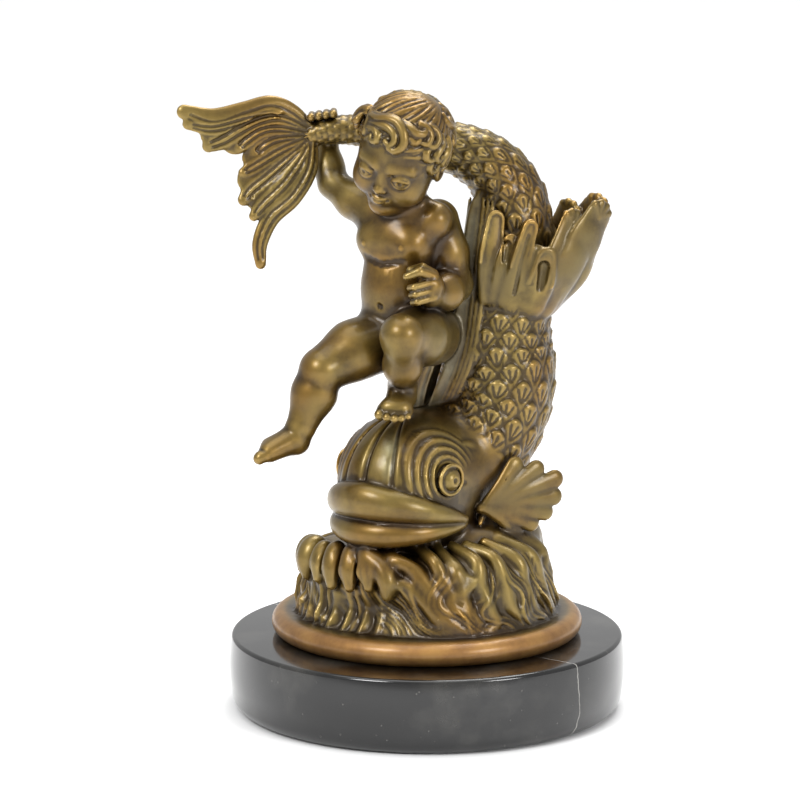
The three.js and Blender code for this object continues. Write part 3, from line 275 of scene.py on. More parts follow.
# The moulding at the foot and the waves above it, a mound carved in sheets of water.
waveSizes = {
    "rimRadius": 59.5, "rimHeight": 9.2, "foot": 51.5, "top": 37.0, "taper": (4.6, 3.7),
    "sheets": 15, "folds": 34, "crest": 0.7, "carving": 2.6, "folding": 1.7, "lines": 0.3,
    "hollow": (243, 22, 17, 6.5),  # bearing and its width in degrees, height and its width
}
lobes = [  # bearing in degrees, height at the top, height at the tip, radius
    (186, 35, 26, 3.6), (197, 35.5, 25.5, 4.8), (209, 36.5, 26.5, 3.4), (220, 37.5, 25.5, 3.8),
    (231, 38, 26, 3.6),
    (241, 38, 27, 3.2),
]
rollers = [  # each crest: bearing, height, how far it is sunk and its radius
    [(223, 40, 9, 2), (238, 38.5, -1.6, 2.8), (246, 35.5, -2.4, 3.2), (251, 30, -2.6, 3),
     (251.5, 24.5, -2, 1.7)],
    [(251, 25, -1, 1), (256, 28.5, -0.6, 1.3), (262, 27.5, -0.4, 1.4), (269, 21, -0.2, 1.5),
     (274, 15.5, 0, 1.5),
     (280, 11.3, 0.4, 1.3), (290, 9.8, 1, 0.9)],
    [(235, 40, 9, 2), (252, 37.5, -0.4, 2.2), (262, 34, 0.2, 2.3), (269, 28, 0.4, 2.3), (274.5, 20, 0.6, 2.2),
     (282, 13.5, 0.6, 1.6), (291, 10.5, 1, 0.9)],
    [(263, 40, 9, 1.6), (273, 37, 0.3, 1.9), (277, 31, 0.3, 1.9), (280.5, 25, 0.5, 1.8),
     (286, 17.5, 0.6, 1.5), (293, 12, 1, 0.9)],
    [(276, 40, 9, 1.5), (283.5, 34, 0.3, 1.8), (285.5, 27, 0.4, 1.7), (288, 20, 0.6, 1.6), (293, 14, 0.8, 1)],
    [(287, 40, 9, 1.6), (295, 36, 0.2, 2), (296, 28, 0.3, 2), (298.5, 20, 0.4, 1.9), (302, 12.8, 0.6, 1.4),
     (296, 9.8, 0.8, 1)],
    [(297, 40, 9, 1.6), (306, 36, 0.2, 2), (309, 26, 0.3, 1.9), (311.5, 17.5, 0.4, 1.6), (317, 14, 0.5, 1.3),
     (322, 16, 0.6, 0.9)],
    [(312, 40, 9, 1.6), (321, 34, 0.2, 2.1), (323, 25, 0.4, 2), (327, 16, 0.5, 1.5), (334, 11, 1, 0.9)],
    [(327, 40, 9, 1.6), (335, 34, 0.2, 2), (338, 25, 0.4, 1.9), (342, 16, 0.5, 1.5), (349, 11, 1, 0.9)],
    [(342, 40, 9, 1.6), (350, 34, 0.2, 2), (352, 25, 0.4, 1.9), (357, 16, 0.5, 1.5), (364, 11, 1, 0.9)],
]


# The mound's radius at a height, before it is carved.
def moundRadius(z):
    h = z / waveSizes["top"]
    return waveSizes["foot"] - waveSizes["taper"][0] * h - waveSizes["taper"][1] * h * h


def onWave(turn, z, sunk, radius):
    a = math.radians(turn)
    r = moundRadius(z) - sunk
    return r * math.cos(a), r * math.sin(a), z, radius


def moulding(x, y, z):
    r = waveSizes["rimHeight"] / 2
    rho = np.sqrt(x * x + y * y)
    return np.sqrt(np.maximum(rho - (waveSizes["rimRadius"] - r), 0) ** 2 + (z - r) ** 2) - r


# How far round, in degrees, a sheet of water has swept at a height.
def sheetSweep(z):
    return 16 * ramp(38 - z, 0, 29) ** 1.3 + 3 * np.sin(z / 4.5)


# A wave's height from 0 to 1: a long rise up to the crest, then a short fall.
def swell(sheet):
    saw = sheet - np.floor(sheet)
    crest = waveSizes["crest"]
    return np.where(saw < crest, (saw / crest) ** 1.5, (1 - saw) / (1 - crest))


def waveCore(x, y, z):
    w = waveSizes
    rho, angle = np.sqrt(x * x + y * y), np.arctan2(y, x)
    turn = np.degrees(angle) % 360
    middle, wide, height, deep = w["hollow"]
    hollow = np.exp(-((turn - middle) / wide) ** 2) * np.exp(-((z - height) / deep) ** 2)
    bend = 0.3 * np.sin(5 * angle + 0.11 * z) + 0.13 * np.sin(13 * angle - 0.2 * z)
    large = (turn - sheetSweep(z)) * w["sheets"] / 360 + bend
    small = (turn - sheetSweep(z)) * w["folds"] / 360 + 1.4 * bend + 0.25 * np.sin(0.3 * z + 3 * angle)
    strength = 0.65 + 0.35 * np.sin(3 * angle + 0.21 * z)
    relief = w["carving"] * (swell(large) - 0.5) + w["folding"] * strength * (swell(small) - 0.5)
    relief = relief + w["lines"] * np.cos(6 * math.pi * small + np.sin(0.5 * z))
    # Under the breaking crest the water runs down in threads.
    left = smoothRamp(turn, 176, 190) * smoothRamp(-turn, -252, -242) * ramp(-z, -26, -22)
    bumps = np.cos(0.74 * turn + np.sin(0.4 * z)) * ramp(z, 8, 12) * ramp(-z, -20, -14) * left
    bent = 1.1 * turn + 1.2 * np.sin(0.3 * z) + 1.5 * np.sin(0.35 * turn)
    threads = 1.1 * bumps + 0.5 * np.cos(bent) * left
    relief = relief * np.clip((z - 8) / 5, 0.1, 1) * (1 - 0.6 * hollow) * (1 - 0.6 * left) + threads
    side = 0.72 * (rho - (moundRadius(z) - 5 * hollow + relief))
    return -smoothMin(-side, -0.95 * (z - w["top"]), 8)


def waves(clay):
    reach = waveSizes["rimRadius"]
    clay.add((vec(-reach, -reach, 0), vec(reach, reach, waveSizes["rimHeight"]), moulding))
    clay.add((vec(-58, -58, 4), vec(58, 58, 42), waveCore), 1)
    clay.add(egg(Pose((0, 0, 0), (1, 0, 0), (0, 0, 1)), (13, 5, 37), (31, 27, 13)), 4)
    breakingWave(clay)


# Lobes of foam hang over a hollow at the front left, and the rollers sweep down beside it.
def breakingWave(clay):
    for turn, top, tip, r in lobes:
        middle = (top + tip) / 2
        body = [(turn - 5, top - 1, 4, 2.4), (turn - 1.5, top, -0.6, r), (turn, middle + 1, -2, r),
                (turn + 1.5, tip, -1.4, 2)]
        clay.join(strand([onWave(*p) for p in body], 7), 0.8)
        for beside in (-2.8, 2.8):
            edge = [(turn - 3 + beside, top - 0.5, 1, 1), (turn + 0.8 * beside, top - 1.5, -3, 1.5),
                    (turn + beside, middle, -3.4, 1.4), (turn + 0.7 * beside + 1, tip + 1.6, -2.4, 0.7)]
            clay.join(strand([onWave(*p) for p in edge], 6), 0.6)
    for roller in rollers:
        clay.join(strand([onWave(turn, z, sunk + 1.1, 1.25 * r) for turn, z, sunk, r in roller], 8), 2.4)


# The dolphin's head faces the viewer, turned to the viewer's left.
fishPose = Pose((-7, -13, 61), (-0.588, -0.809, 0), (0, 0, 1))
fishSizes = {
    "skull": (29, 25, 25.5), "jaw": (26, 22, 14), "eye": (7, 24, 5), "eyeRadius": 4.9, "coil": 2.9,
    "seams": (-23, 0, 23), "gillBars": 12, "fanRibs": 7,
}


def fishRelief(points):
    f, l, u = fishPose.local(points)
    bearing = np.degrees(np.arctan2(l, f))
    upper = ramp(u, -4, 6) * ramp(-np.abs(bearing), -30, -22)
    height = sum(-1.3 * upper * np.exp(-((bearing - seam) / 2.6) ** 2) for seam in fishSizes["seams"])
    ef, el, eu = fishSizes["eye"]
    rho = np.hypot(1.08 * (f - ef), u - eu)
    angle = np.arctan2(u - eu, f - ef)
    coil = rho / fishSizes["coil"] - angle / (2 * math.pi)
    saw = coil - np.floor(coil)
    ridge = np.minimum(saw * 1.35, (1 - saw) * 4) - 0.4
    ring = ramp(rho, 6.5, 8) * ramp(-rho, -20, -14)
    arc = ramp(angle, -0.9, -0.4) * ramp(-angle, -2.9, -2.3)
    return height + 1.15 * ring * arc * ridge * (np.abs(l) > 4)


# A lip is a band swept round the front of the head, thin at the corners of the mouth.
lipSizes = {"spread": 92.0, "radii": (29.5, 25.0)}


def lip(front, corner, heights, depths, back):
    rf, rl = lipSizes["radii"][0] - back, lipSizes["radii"][1] - back / 2
    spread = math.radians(lipSizes["spread"])

    def distance(x, y, z):
        x, y, z = x - fishPose.origin[0], y - fishPose.origin[1], z - fishPose.origin[2]
        f, l, u = (x * a[0] + y * a[1] + z * a[2] for a in fishPose.axes)
        t = np.arctan2(l / rl, f / rf)
        s = np.abs(t) / spread
        beyond = np.maximum(s - 1, 0) * spread * rl
        s = np.minimum(s, 1)
        scale = np.hypot(np.cos(t) / rf, np.sin(t) / rl)
        out = (np.hypot(f / rf, l / rl) - 1) / scale
        up = u - (front + (corner - front) * s ** 1.6)
        height = heights[0] + (heights[1] - heights[0]) * s ** 1.8
        depth = depths[0] + (depths[1] - depths[0]) * s ** 1.8
        k0 = np.sqrt((up / height) ** 2 + (out / depth) ** 2 + (beyond / depth) ** 2)
        k1 = np.sqrt((up / height ** 2) ** 2 + (out / depth ** 2) ** 2 + (beyond / depth ** 2) ** 2)
        return k0 * (k0 - 1) / np.maximum(k1, 1e-6)
    return fishPose.origin - 38, fishPose.origin + vec(38, 38, 12), distance


def fishHead(clay):
    clay.add(egg(fishPose, (0, 0, 2), fishSizes["skull"]), 6)
    clay.add(egg(fishPose, (2, 0, -10), fishSizes["jaw"]), 6)
    clay.raiseBy(fishPose.origin - 36, fishPose.origin + 36, fishRelief)
    ef, el, eu = fishSizes["eye"]
    for side in sides:
        def beside(f, l, u):
            return fishPose.at(ef + f, side * (el + l), eu + u)
        clay.cut(ball(beside(0.4, 1.5, 0), 6.3), 1)
        clay.cut(limb(beside(-4.5, 2.2, -0.8), beside(-9, 1.4, -2.6), 1.9, 0.7), 0.8)
        clay.add(ball(beside(0, -1.2, 0), fishSizes["eyeRadius"]), 0.4)
        clay.cut(ball(beside(0.9, 3.9, 0), 1.3), 0.3)
        lids = []
        for a in np.linspace(0, 2 * math.pi, 21):
            lids.append((*beside(5.8 * math.cos(a), 0.7 - 0.9 * math.cos(a), 5.6 * math.sin(a)), 0.8))
        clay.join(limbs(lids), 0.6)
    clay.add(lip(-2, -11.2, (7, 1.6), (5.2, 1.6), 0), 1.2)
    clay.add(lip(-14.5, -13.4, (5.4, 1.4), (5, 1.6), 1), 1.2)
    for side in sides:
        gillEdge(clay, side)
        pectoralFan(clay, side)


def gillEdge(clay, side):
    bars = fishSizes["gillBars"]
    points = []
    for i in range(bars + 1):
        a = math.radians(11.5 * i - 58)
        beside = 25.4 - 4.6 * math.cos(a) ** 2 - 5 * max(0, math.sin(a)) ** 3
        place = fishPose.at(-4 - 16 * math.cos(a), side * beside, 17 * math.sin(a) - 1)
        points.append((*place, 1.5 if i % bars else 0.7))
    clay.join(strand(points, 3), 1.2)


def pectoralFan(clay, side):
    root = vec(-13, side * 24, -9.5)
    across = fishPose.turn((0.5, 0.86 * side, 0.1))
    for i in range(fishSizes["fanRibs"]):
        a = math.radians(62 - 19 * i)
        length = 31 - 3 * abs(i - 2)
        away = length * math.cos(a)
        tip = root + vec(-0.8 * away - 2, side * (0.55 * away + 1.5), 0.66 * length * math.sin(a) + 1)
        middle = (root + tip) / 2 + vec(0, 1.2 * side, 0.6)
        ends = [(*fishPose.at(*p), w, d) for p, w, d in ((root, 1.4, 1.6), (middle, 2.6, 1.6), (tip, 3.6, 1.5))]
        clay.join(strand(ends, 4, across), 0.9)


# The dolphin's body: x, y, z and radius along its middle, from the head to the tail.
bodyLine = [
    (-2, -6, 60, 21), (12, 5, 68, 23.3), (22.5, 11, 82, 23), (26.5, 13, 97, 22.8),
    (26.2, 13, 112, 21.3), (28.5, 12.5, 128, 19), (32.2, 12, 146, 16.4), (33, 12, 158, 14.6),
    (30.2, 12, 169.5, 13), (24, 11.5, 177.8, 11.6), (15.5, 11, 183, 10.4), (7, 10, 185.8, 9.2),
    (-10, 9, 189.6, 7), (-27, 8, 192, 5.8), (-37, 7, 192, 5.2), (-43.5, 6, 190.6, 4), (-50, 4.2, 191, 2),
]
scaleSizes = {
    "around": 14, "aroundTail": 10, "tailFrom": 48, "fromRow": 3.2, "row": 0.68, "half": 0.53, "tip": 1.45,
    "lift": 0.17, "groove": 0.06, "grooveWidth": 0.05, "fall": 1.5,
}


# Overlapping scales, each rising to a rounded free edge towards the tail, with grooves on it. The
# height at a place given in scales round the body and rows along it is that of the highest scale.
def scaleHeight(along, row, size):
    z = scaleSizes
    step = np.floor(row)
    height = np.full(len(row), -9.0)
    for number in (step - 1, step, step + 1):
        shifted = along + 0.5 * (number % 2)
        for column in (np.floor(shifted), np.floor(shifted) + 1):
            across, up = shifted - column, row - number
            edge = np.hypot(across / z["half"], np.maximum(up - 0.25, 0) / (z["tip"] - 0.25)) - 1
            chance = np.sin(column * 12.9898 + number * 78.233) * 43758.5453
            lean = 0.25 * (chance - np.floor(chance) - 0.5)
            rise = z["lift"] * (up + 0.6) / (z["tip"] + 0.6) - 0.1 * (across / z["half"]) ** 2
            grooves = 0
            for spread in (-0.34, 0.0, 0.34):
                line = across - (spread + lean) * (up - 0.35)
                grooves = grooves + np.exp(-(line / z["grooveWidth"]) ** 2)
            grooves = np.minimum(grooves, 1) * ramp(up, 0.35, 0.6) * ramp(-up, -1.4, -1.15)
            fall = z["fall"] * 0.5 * np.maximum(edge, 0)
            value = size * (rise - z["lift"] * 0.5 - z["groove"] * grooves - fall)
            height = np.maximum(height, value)
    return height


def fishBody(clay):
    path = curve(bodyLine, 8)
    middle, radius = path[:, :3], path[:, 3]
    tangent = np.gradient(middle, axis=0)
    tangent /= np.linalg.norm(tangent, axis=1)[:, None]
    front = vec(0, -1, 0) + tangent * tangent[:, 1:2]
    front /= np.linalg.norm(front, axis=1)[:, None]
    beside = np.cross(tangent, front)
    gaps = np.linalg.norm(np.diff(middle, axis=0), axis=1)
    # Fewer scales go round the tail than round the body. The change is under the leaf fin.
    onTail = np.arange(len(middle)) >= scaleSizes["tailFrom"]
    counts = np.where(onTail, scaleSizes["aroundTail"], scaleSizes["around"])
    sizes = 2 * math.pi * radius / counts
    rows = np.concatenate([[0], np.cumsum(gaps / (scaleSizes["row"] * sizes[1:] + 0.3))])

    def scales(points, near):
        least = np.full(len(points), 1e9)
        index, t = near.copy(), np.zeros(len(points))
        away = np.zeros((len(points), 3))
        for step in range(-7, 8):  # the nearest place on the middle line, whatever the radius there
            i = np.clip(near + step, 0, len(middle) - 2)
            a = middle[i]
            ab = middle[i + 1] - a
            share = np.clip(((points - a) * ab).sum(1) / (ab * ab).sum(1), 0, 1)
            gap = points - a - ab * share[:, None]
            length = (gap * gap).sum(1)
            closer = length < least
            for kept, new in ((least, length), (index, i), (t, share), (away, gap)):
                kept[closer] = new[closer]

        def mixed(values):
            share = t if values.ndim == 1 else t[:, None]
            return values[index] * (1 - share) + values[index + 1] * share
        angle = np.arctan2((away * mixed(beside)).sum(1), (away * mixed(front)).sum(1))
        row = mixed(rows)
        height = scaleHeight(angle / (2 * math.pi) * counts[index], row, sizes[index])
        return height * ramp(row, scaleSizes["fromRow"], scaleSizes["fromRow"] + 1)
    clay.join(strand(bodyLine, 8), 5, relief=scales)


# Each blade of the tail fin: x, y, z and half width from the root to the tip.
tailBlades = [
    [(-43, 5.5, 192, 2), (-50.9, 4, 199, 3.4), (-59, 2, 202, 3.8), (-68.3, 0, 199.6, 4.2), (-80, -2, 196.4, 5),
     (-91, -3.5, 200.2, 2.8)],
    [(-56, 3, 199, 2.4), (-68, 0, 197.4, 3.2), (-80, -2, 194.6, 3.2), (-89.5, -3.4, 195.6, 2.2)],
    [(-43, 5.5, 191.5, 1.6), (-54.2, 3.5, 196.8, 2.4), (-62.1, 2, 196.4, 3), (-70.3, 0, 192.8, 3.4),
     (-76.4, -1, 189.3, 3.4), (-82, -2, 187.2, 2.5)],
    [(-43, 5.5, 190.5, 1.6), (-55.4, 3.5, 193, 2.2), (-62.1, 2, 192.3, 2.5), (-67.7, 1, 188.9, 2.6),
     (-70.6, 0, 186.3, 2)],
    [(-43, 5.5, 190, 1.6), (-55.4, 3.5, 189.2, 2.2), (-60.6, 2.5, 187.2, 2.6), (-64.6, 2, 184, 1.6)],
    [(-43, 5.5, 190, 1.6), (-53.9, 3.5, 185.4, 2.4), (-60.7, 2, 181.6, 2.7), (-65.9, 1, 178.6, 2.5),
     (-69.2, 0, 177, 1.8)],
    [(-43, 5.5, 189.5, 1.6), (-51.7, 3.5, 182.2, 2.4), (-59.2, 2, 175.8, 3), (-66, 0.5, 170.4, 3.2),
     (-69, -1, 166.8, 2.4)],
    [(-43, 5.5, 189, 1.6), (-47.9, 3, 180.2, 2.6), (-53.9, 1, 172.2, 3.1), (-61.2, 0, 165.2, 3.2),
     (-65.2, -1, 160.6, 2)],
    [(-43, 5.5, 190, 2), (-44.2, 3, 177.8, 2.9), (-50.4, 1, 167.4, 3.2), (-58.8, 0, 159.8, 3.4),
     (-63, -1.5, 150.4, 3), (-62.8, -2, 142.6, 2.1)],
]


# A crease along a line.
def fold(clay, line, r, k):
    for piece in limbs([(*p, r) for p in line]):
        clay.cut(piece, k)


# A blade with a raised rim round its edge and grooves along its face, on both faces.
def blade(clay, points, across, rim, groove, beside=(0,), k=0.9):
    clay.join(strand(points, 9, across), k)
    path = curve(points, 9)
    tangent = np.gradient(path[:, :3], axis=0)
    outward = np.array([squared(across, t) for t in tangent])
    sideways = np.cross(np.array([unit(t) for t in tangent]), outward)
    width, depth = path[:, 3:4], path[:, 4:5]
    start = 9 * len(path) // 20
    for face in sides:
        for share in beside if groove else ():
            line = path[:, :3] + share * width * sideways
            line = line + face * outward * (depth * math.sqrt(1 - share * share) + 0.3 * groove)
            fold(clay, line[2:-2], groove, 0.4)
        if rim:
            edge = 0.82 * width * sideways
            raised = path[:, :3] + face * outward * 0.66 * depth
            turn = [raised[-1] + math.cos(a) * edge[-1] + math.sin(a) * width[-1] * unit(tangent[-1]) * 0.82
                    for a in np.linspace(0, math.pi, 7)]
            line = np.vstack([(raised + edge)[start:-1], turn, (raised - edge)[start:-1][::-1]])
            clay.join(limbs([(*p, rim) for p in line]), 0.8)


tailSizes = {"root": 2.2, "middle": 1.6, "tip": 1.2, "groove": 0.62, "web": 1.1, "webTo": 0.8, "lastWebTo": 0.5}


def tailFin(clay):
    s = tailSizes
    across = (0.15, -1, 0.1)
    lines = []
    for line in tailBlades:
        depths = [s["root"], *[s["middle"]] * (len(line) - 2), s["tip"]]
        lines.append([(*p, depth) for p, depth in zip(line, depths)])
    paths = [curve(line, 9) for line in lines[1:]]
    for upper, lower in zip(paths, paths[1:]):  # webs between the blades, from near the root
        web = []
        for t in np.linspace(0.2, s["lastWebTo" if lower is paths[-1] else "webTo"], 6):
            a, b = (path[int(t * (len(path) - 1)), :3] for path in (upper, lower))
            web.append((*(a + b) / 2, np.linalg.norm(a - b) / 2 + 1, s["web"]))
        clay.join(strand(web, 4, across), 0.8)
    for i, line in enumerate(lines):
        blade(clay, line, across, 0, s["groove"], (-0.05, -0.6) if i < 2 else (-0.38, 0.38))


# Each leaf of the fin round the body: x, y, z and half width at its root, middle and tip.
leafBlades = [
    [(24, -6, 132, 5.2), (23.6, -7.4, 146, 5), (25.4, -6, 160, 3.6)],
    [(31.5, -6.4, 129.5, 5), (34.5, -9.4, 144, 4), (38.4, -8.6, 157.5, 3)],
    [(39, -4.4, 127.5, 5.5), (42.5, -7.8, 137, 5.6), (44.3, -8, 146, 3.8)],
    [(43.5, -0.5, 126, 6), (49.5, -4, 143, 7.4), (54, -2, 158, 5.4)],
    [(46, 5, 126, 5.5), (57, 0, 147, 8.6), (64, 3, 159.6, 6.8)],
    [(47, 10, 126, 4.5), (56, 8, 138, 5.5), (62.5, 9.5, 149.5, 4)],
]
leafWebs = [  # sheet between the leaves: the same, from the root to where they part
    [(28, -6.4, 131, 4.6), (29, -8.2, 141, 4.4), (31.2, -8, 152, 3)],
    [(35.5, -5.6, 128.5, 4.4), (38.5, -8.6, 138, 4.4), (41, -8.4, 148, 3)],
    [(41, -2.6, 127, 5), (46, -6.2, 138, 5.5), (49, -5.4, 150, 3.4)],
    [(45, 2.5, 126, 6), (53.5, -2.6, 142, 7), (59, 0, 153, 4.6)],
    [(47, 8, 126, 5), (56.5, 4, 138, 6), (62.4, 6, 151.5, 4)],
]
leafSizes = {"depths": (2, 1.8, 1.4), "middle": 12, "rim": 0.6, "groove": 0.8}
leafOpenings = [
    [(28.8, -8.6, 145, 0.9), (29.8, -8.6, 151, 1.9)],
    [(42.6, -8.2, 134, 1.7), (43.8, -8.4, 142.5, 2.3)],
]


def leafFin(clay):
    for side in sides:
        def mirrored(y):
            return leafSizes["middle"] + (y - leafSizes["middle"]) * side

        def across(x):
            return (0.25, -side, -0.15) if x < 40 else (0.5, -0.8 * side, -0.35)

        def placed(line, thin):
            return [(x, mirrored(y), z, w, thin * d) for (x, y, z, w), d in zip(line, leafSizes["depths"])]
        for line in leafWebs:
            clay.join(strand(placed(line, 1 if line[0][0] > 44 else 0.85), 9, across(line[0][0])), 1.2)
        for i, line in enumerate(leafBlades):
            rim = 0 if 2 < i < 5 else leafSizes["rim"]  # the two lobes that stand out behind have none
            points, out = placed(line, 1), across(line[0][0])
            blade(clay, points, out, rim, leafSizes["groove"] if i == 1 else 0, k=1.2)
            if not rim:  # a scalloped end
                middle, tip = vec(*points[1][:3]), vec(*points[2][:3])
                ahead = unit(tip - middle)
                beside = unit(np.cross(ahead, out))
                for turn in np.radians((-50, -17, 17, 50)):
                    end = tip + 0.85 * points[2][3] * (math.cos(turn) * ahead + math.sin(turn) * beside)
                    clay.add(limb(tip, end, 1.3, 1.4), 0.7)
        for opening in leafOpenings:
            (a, ra), (b, rb) = [((x, mirrored(y) - side, z), r) for x, y, z, r in opening]
            clay.cut(limb(a, b, ra, rb), 0.8)


# The long fin between the putto and the dolphin's neck: a sheet with lines along it.
dorsalLine = [
    (-1, -1, 84.5, 1.2), (3.4, -3, 92.5, 2), (8.6, -3.8, 106, 2.2), (11, -3.4, 120, 2.2),
    (12.6, -2.2, 134, 2.2), (14.2, 0, 148, 2.1), (15.7, 2, 160, 1.8), (16, 4, 166, 1),
]
dorsalSheet = [(-3.6, 1.5, 85), (-1.6, 1, 95), (1.8, 0.4, 105), (6, 0, 117), (10, 1, 132)]
dorsalSizes = {
    "broad": 5.4, "broadDepth": 1.5, "sheet": 5.8, "narrowing": 0.8, "sheetDepth": 1.3,
    "edge": 0.6, "beside": 0.46, "line": 0.8, "lines": (-3.2, -1, 1.2),
    "shifts": [(1.7, -0.9, 0.4), (3.4, -1.5, 0.7), (5.1, -2, 1), (6.8, -2.4, 1.3), (8.5, -2.7, 1.6), (0.4, 6.5, 0)],
}


def dorsalFin(clay):
    s = dorsalSizes
    across = (0.3, -1, 0)
    broad = [(x + 4.2, y - 0.2, z + 0.8, s["broad"] * min(1, r / 2), s["broadDepth"]) for x, y, z, r in dorsalLine]
    sheet = [(*p, s["sheet"] - s["narrowing"] * i, s["sheetDepth"]) for i, p in enumerate(dorsalSheet)]
    clay.join(strand(broad, 4, across), 1.5)
    clay.join(strand(sheet, 4, across), 1.5)
    clay.join(strand([(x, y, z, s["edge"] * r) for x, y, z, r in dorsalLine], 4), 1)
    for dx, dy, dz in s["shifts"]:
        clay.join(strand([(x + dx, y + dy, z + dz, s["beside"] * r) for x, y, z, r in dorsalLine], 4), 0.5)
    for shift in s["lines"]:
        clay.join(strand([(x + shift, y - 0.9, z, s["line"]) for x, y, z in dorsalSheet], 4), 0.5)


# The putto's trunk leans back and is turned to the viewer's left. An egg is its place and radii.
torsoPose = Pose((-10, -10, 140), (-0.53, -0.85, 0), (0.05, 0, 1))
torsoSizes = {
    "chest": ((0.5, -0.6, 15), (11.5, 15, 13.5)), "core": ((0.5, -0.5, 12, 12), (0.5, -0.5, -12, 12.2)),
    "belly": ((3.2, 0, -5), (11.2, 12.6, 13.5)), "hips": ((-0.5, -1, -21), (12, 15, 10.5)),
    "seat": (9, 8, 8), "breast": 7.2, "navel": 1.05, "neck": [(-8.5, -12, 162, 7), (-8, -17, 173, 7.2)],
}


def torso(clay):
    s, at = torsoSizes, torsoPose.at
    clay.add(egg(torsoPose, *s["chest"]), 3)
    clay.join(limbs([(*at(*p), r) for *p, r in s["core"]]), 6)
    clay.add(egg(torsoPose, *s["belly"]), 6)
    clay.add(egg(torsoPose, *s["hips"]), 6)
    for side in sides:
        clay.add(ball(at(5.6, 7.6 * side - 0.6, 13), s["breast"]), 3)
        clay.add(limb(at(0, 5 * side, 25.5), at(-1, 13 * side, 22), 5.5, 7), 4)
        clay.add(ball(at(12.7, 8.2 * side - 0.6, 12.2), 0.8), 0.8)
        clay.add(egg(torsoPose, (-6.5, 5.2 * side - 0.8, -27), s["seat"]), 3)
    underChest = [at(13.6 - 1.2 * abs(t), 9.5 * t - 0.6, 5.4 + 1.6 * abs(t)) for t in np.linspace(-1.2, 1.2, 9)]
    underBelly = [at(12.6 - 3.4 * t * t, 12 * t, -18.5 + 4.2 * t * t) for t in np.linspace(-1.05, 1.05, 9)]
    fold(clay, underChest, 0.5, 2)
    fold(clay, underBelly, 0.6, 1.6)
    clay.cut(ball(at(14.6, 0.3, -10.5), s["navel"]), 1)
    clay.add(ball(at(10, 0, -23), 2.6), 2)
    clay.join(limbs(s["neck"]), 4)


# Limbs of the putto are given as x, y, z and radius from joint to joint.
def leg(clay, s):
    clay.join(limbs(s["thigh"]), 3, 3)
    clay.add(ball(s["knee"][:3], s["knee"][3]), 3)
    clay.join(limbs(s["shin"]), s["shinFillet"], 3)
    clay.join([piece for line in s["foot"] for piece in limbs(line)], s["footFillet"], 2.5)


# The leg on the viewer's right is drawn up, with its foot over the dolphin's forehead, not touching it.
bentLegSizes = {
    "thigh": [(0.5, -8, 116.5, 11.8), (-3.5, -24, 118.5, 10.8), (-9.5, -37.5, 121, 8.4)],
    "knee": (-9.8, -40, 122, 6.6),
    "shin": [(-9.6, -38, 117, 6.6), (-9.4, -32, 109, 6.9), (-9.2, -22, 99.5, 4.7)],
    "foot": [
        [(-9.2, -22, 99.5, 4.9), (-9, -21, 95.5, 4.4)], [(-9.8, -24.5, 99.3, 5), (-12.8, -32, 93.2, 3.7)],
        [(-8.6, -24.5, 95.4, 4.4), (-9.6, -32, 92.9, 3.5)], [(-9.6, -32.5, 92.7, 3.3), (-15, -32.6, 93.1, 3.2)],
    ],
    "toes": [
        (-17.9, -34.6, 91, 1.9), (-15.2, -36.8, 90.4, 1.42), (-12.4, -37.6, 90, 1.34), (-9.8, -37, 90, 1.26),
        (-7.4, -35.4, 90.4, 1.18),
    ],
    "shinFillet": 2, "footFillet": 2,
}


def bentLeg(clay):
    leg(clay, bentLegSizes)
    for *tip, r in bentLegSizes["toes"]:
        clay.add(limb(vec(*tip) + vec(0.9, 3.6, 1.6), tip, r, r), 0.9)
        clay.add(ball(tip, 1.05 * r), 0.3)


# The leg on the viewer's left hangs free.
hangingLegSizes = {
    "thigh": [(-16, -12.5, 115.5, 12.2), (-27.5, -19.5, 112.5, 11), (-38.6, -25.5, 106.5, 8.8)],
    "knee": (-40, -28, 106.5, 6.6),
    "shin": [(-40, -25.8, 105.5, 7.6), (-42.3, -26.5, 97.5, 8.2), (-46.9, -29, 86, 5.7)],
    "foot": [
        [(-47.5, -29, 85, 5.2), (-48.8, -28.4, 79.8, 5)], [(-50, -30.4, 80.6, 5), (-58.8, -35.6, 77, 3.9)],
        [(-50, -29, 80.6, 4.6), (-58.6, -31.6, 78.2, 3.6)],
    ],
    "firstToe": (-60, -37.8, 76), "toeStep": (0, 1.95, 0.5), "toes": (2.4, 1.65, 1.55, 1.45, 1.35),
    "kneeCrease": [(-45.2, -32, 112), (-42, -34.6, 114), (-38.6, -35, 115.4)],
    "ankleCrease": [(-51.4, -26, 85.6), (-51, -31, 84), (-48.6, -34, 82.6)],
    "shinFillet": 1.6, "footFillet": 1.4,
}


def hangingLeg(clay):
    s = hangingLegSizes
    leg(clay, s)
    for i, r in enumerate(s["toes"]):
        base = vec(*s["firstToe"]) + vec(*s["toeStep"]) * i
        tip = base + vec(0.25 * i - 2, -0.5, -0.3)
        clay.add(limb(base, tip, r, r), 0.5)
        clay.add(ball(tip + vec(-0.4, -0.2, -0.5), 0.98 * r), 0.2)
    fold(clay, s["kneeCrease"], 0.5, 1.2)
    fold(clay, s["ankleCrease"], 0.5, 1)


def arm(clay, s):
    clay.join(limbs(s["upper"]), s["upperFillet"], 3)
    clay.join(limbs(s["fore"]), s["foreFillet"], 3)
    clay.join([piece for line in s["palm"] for piece in limbs(line)], 1.5, 2)


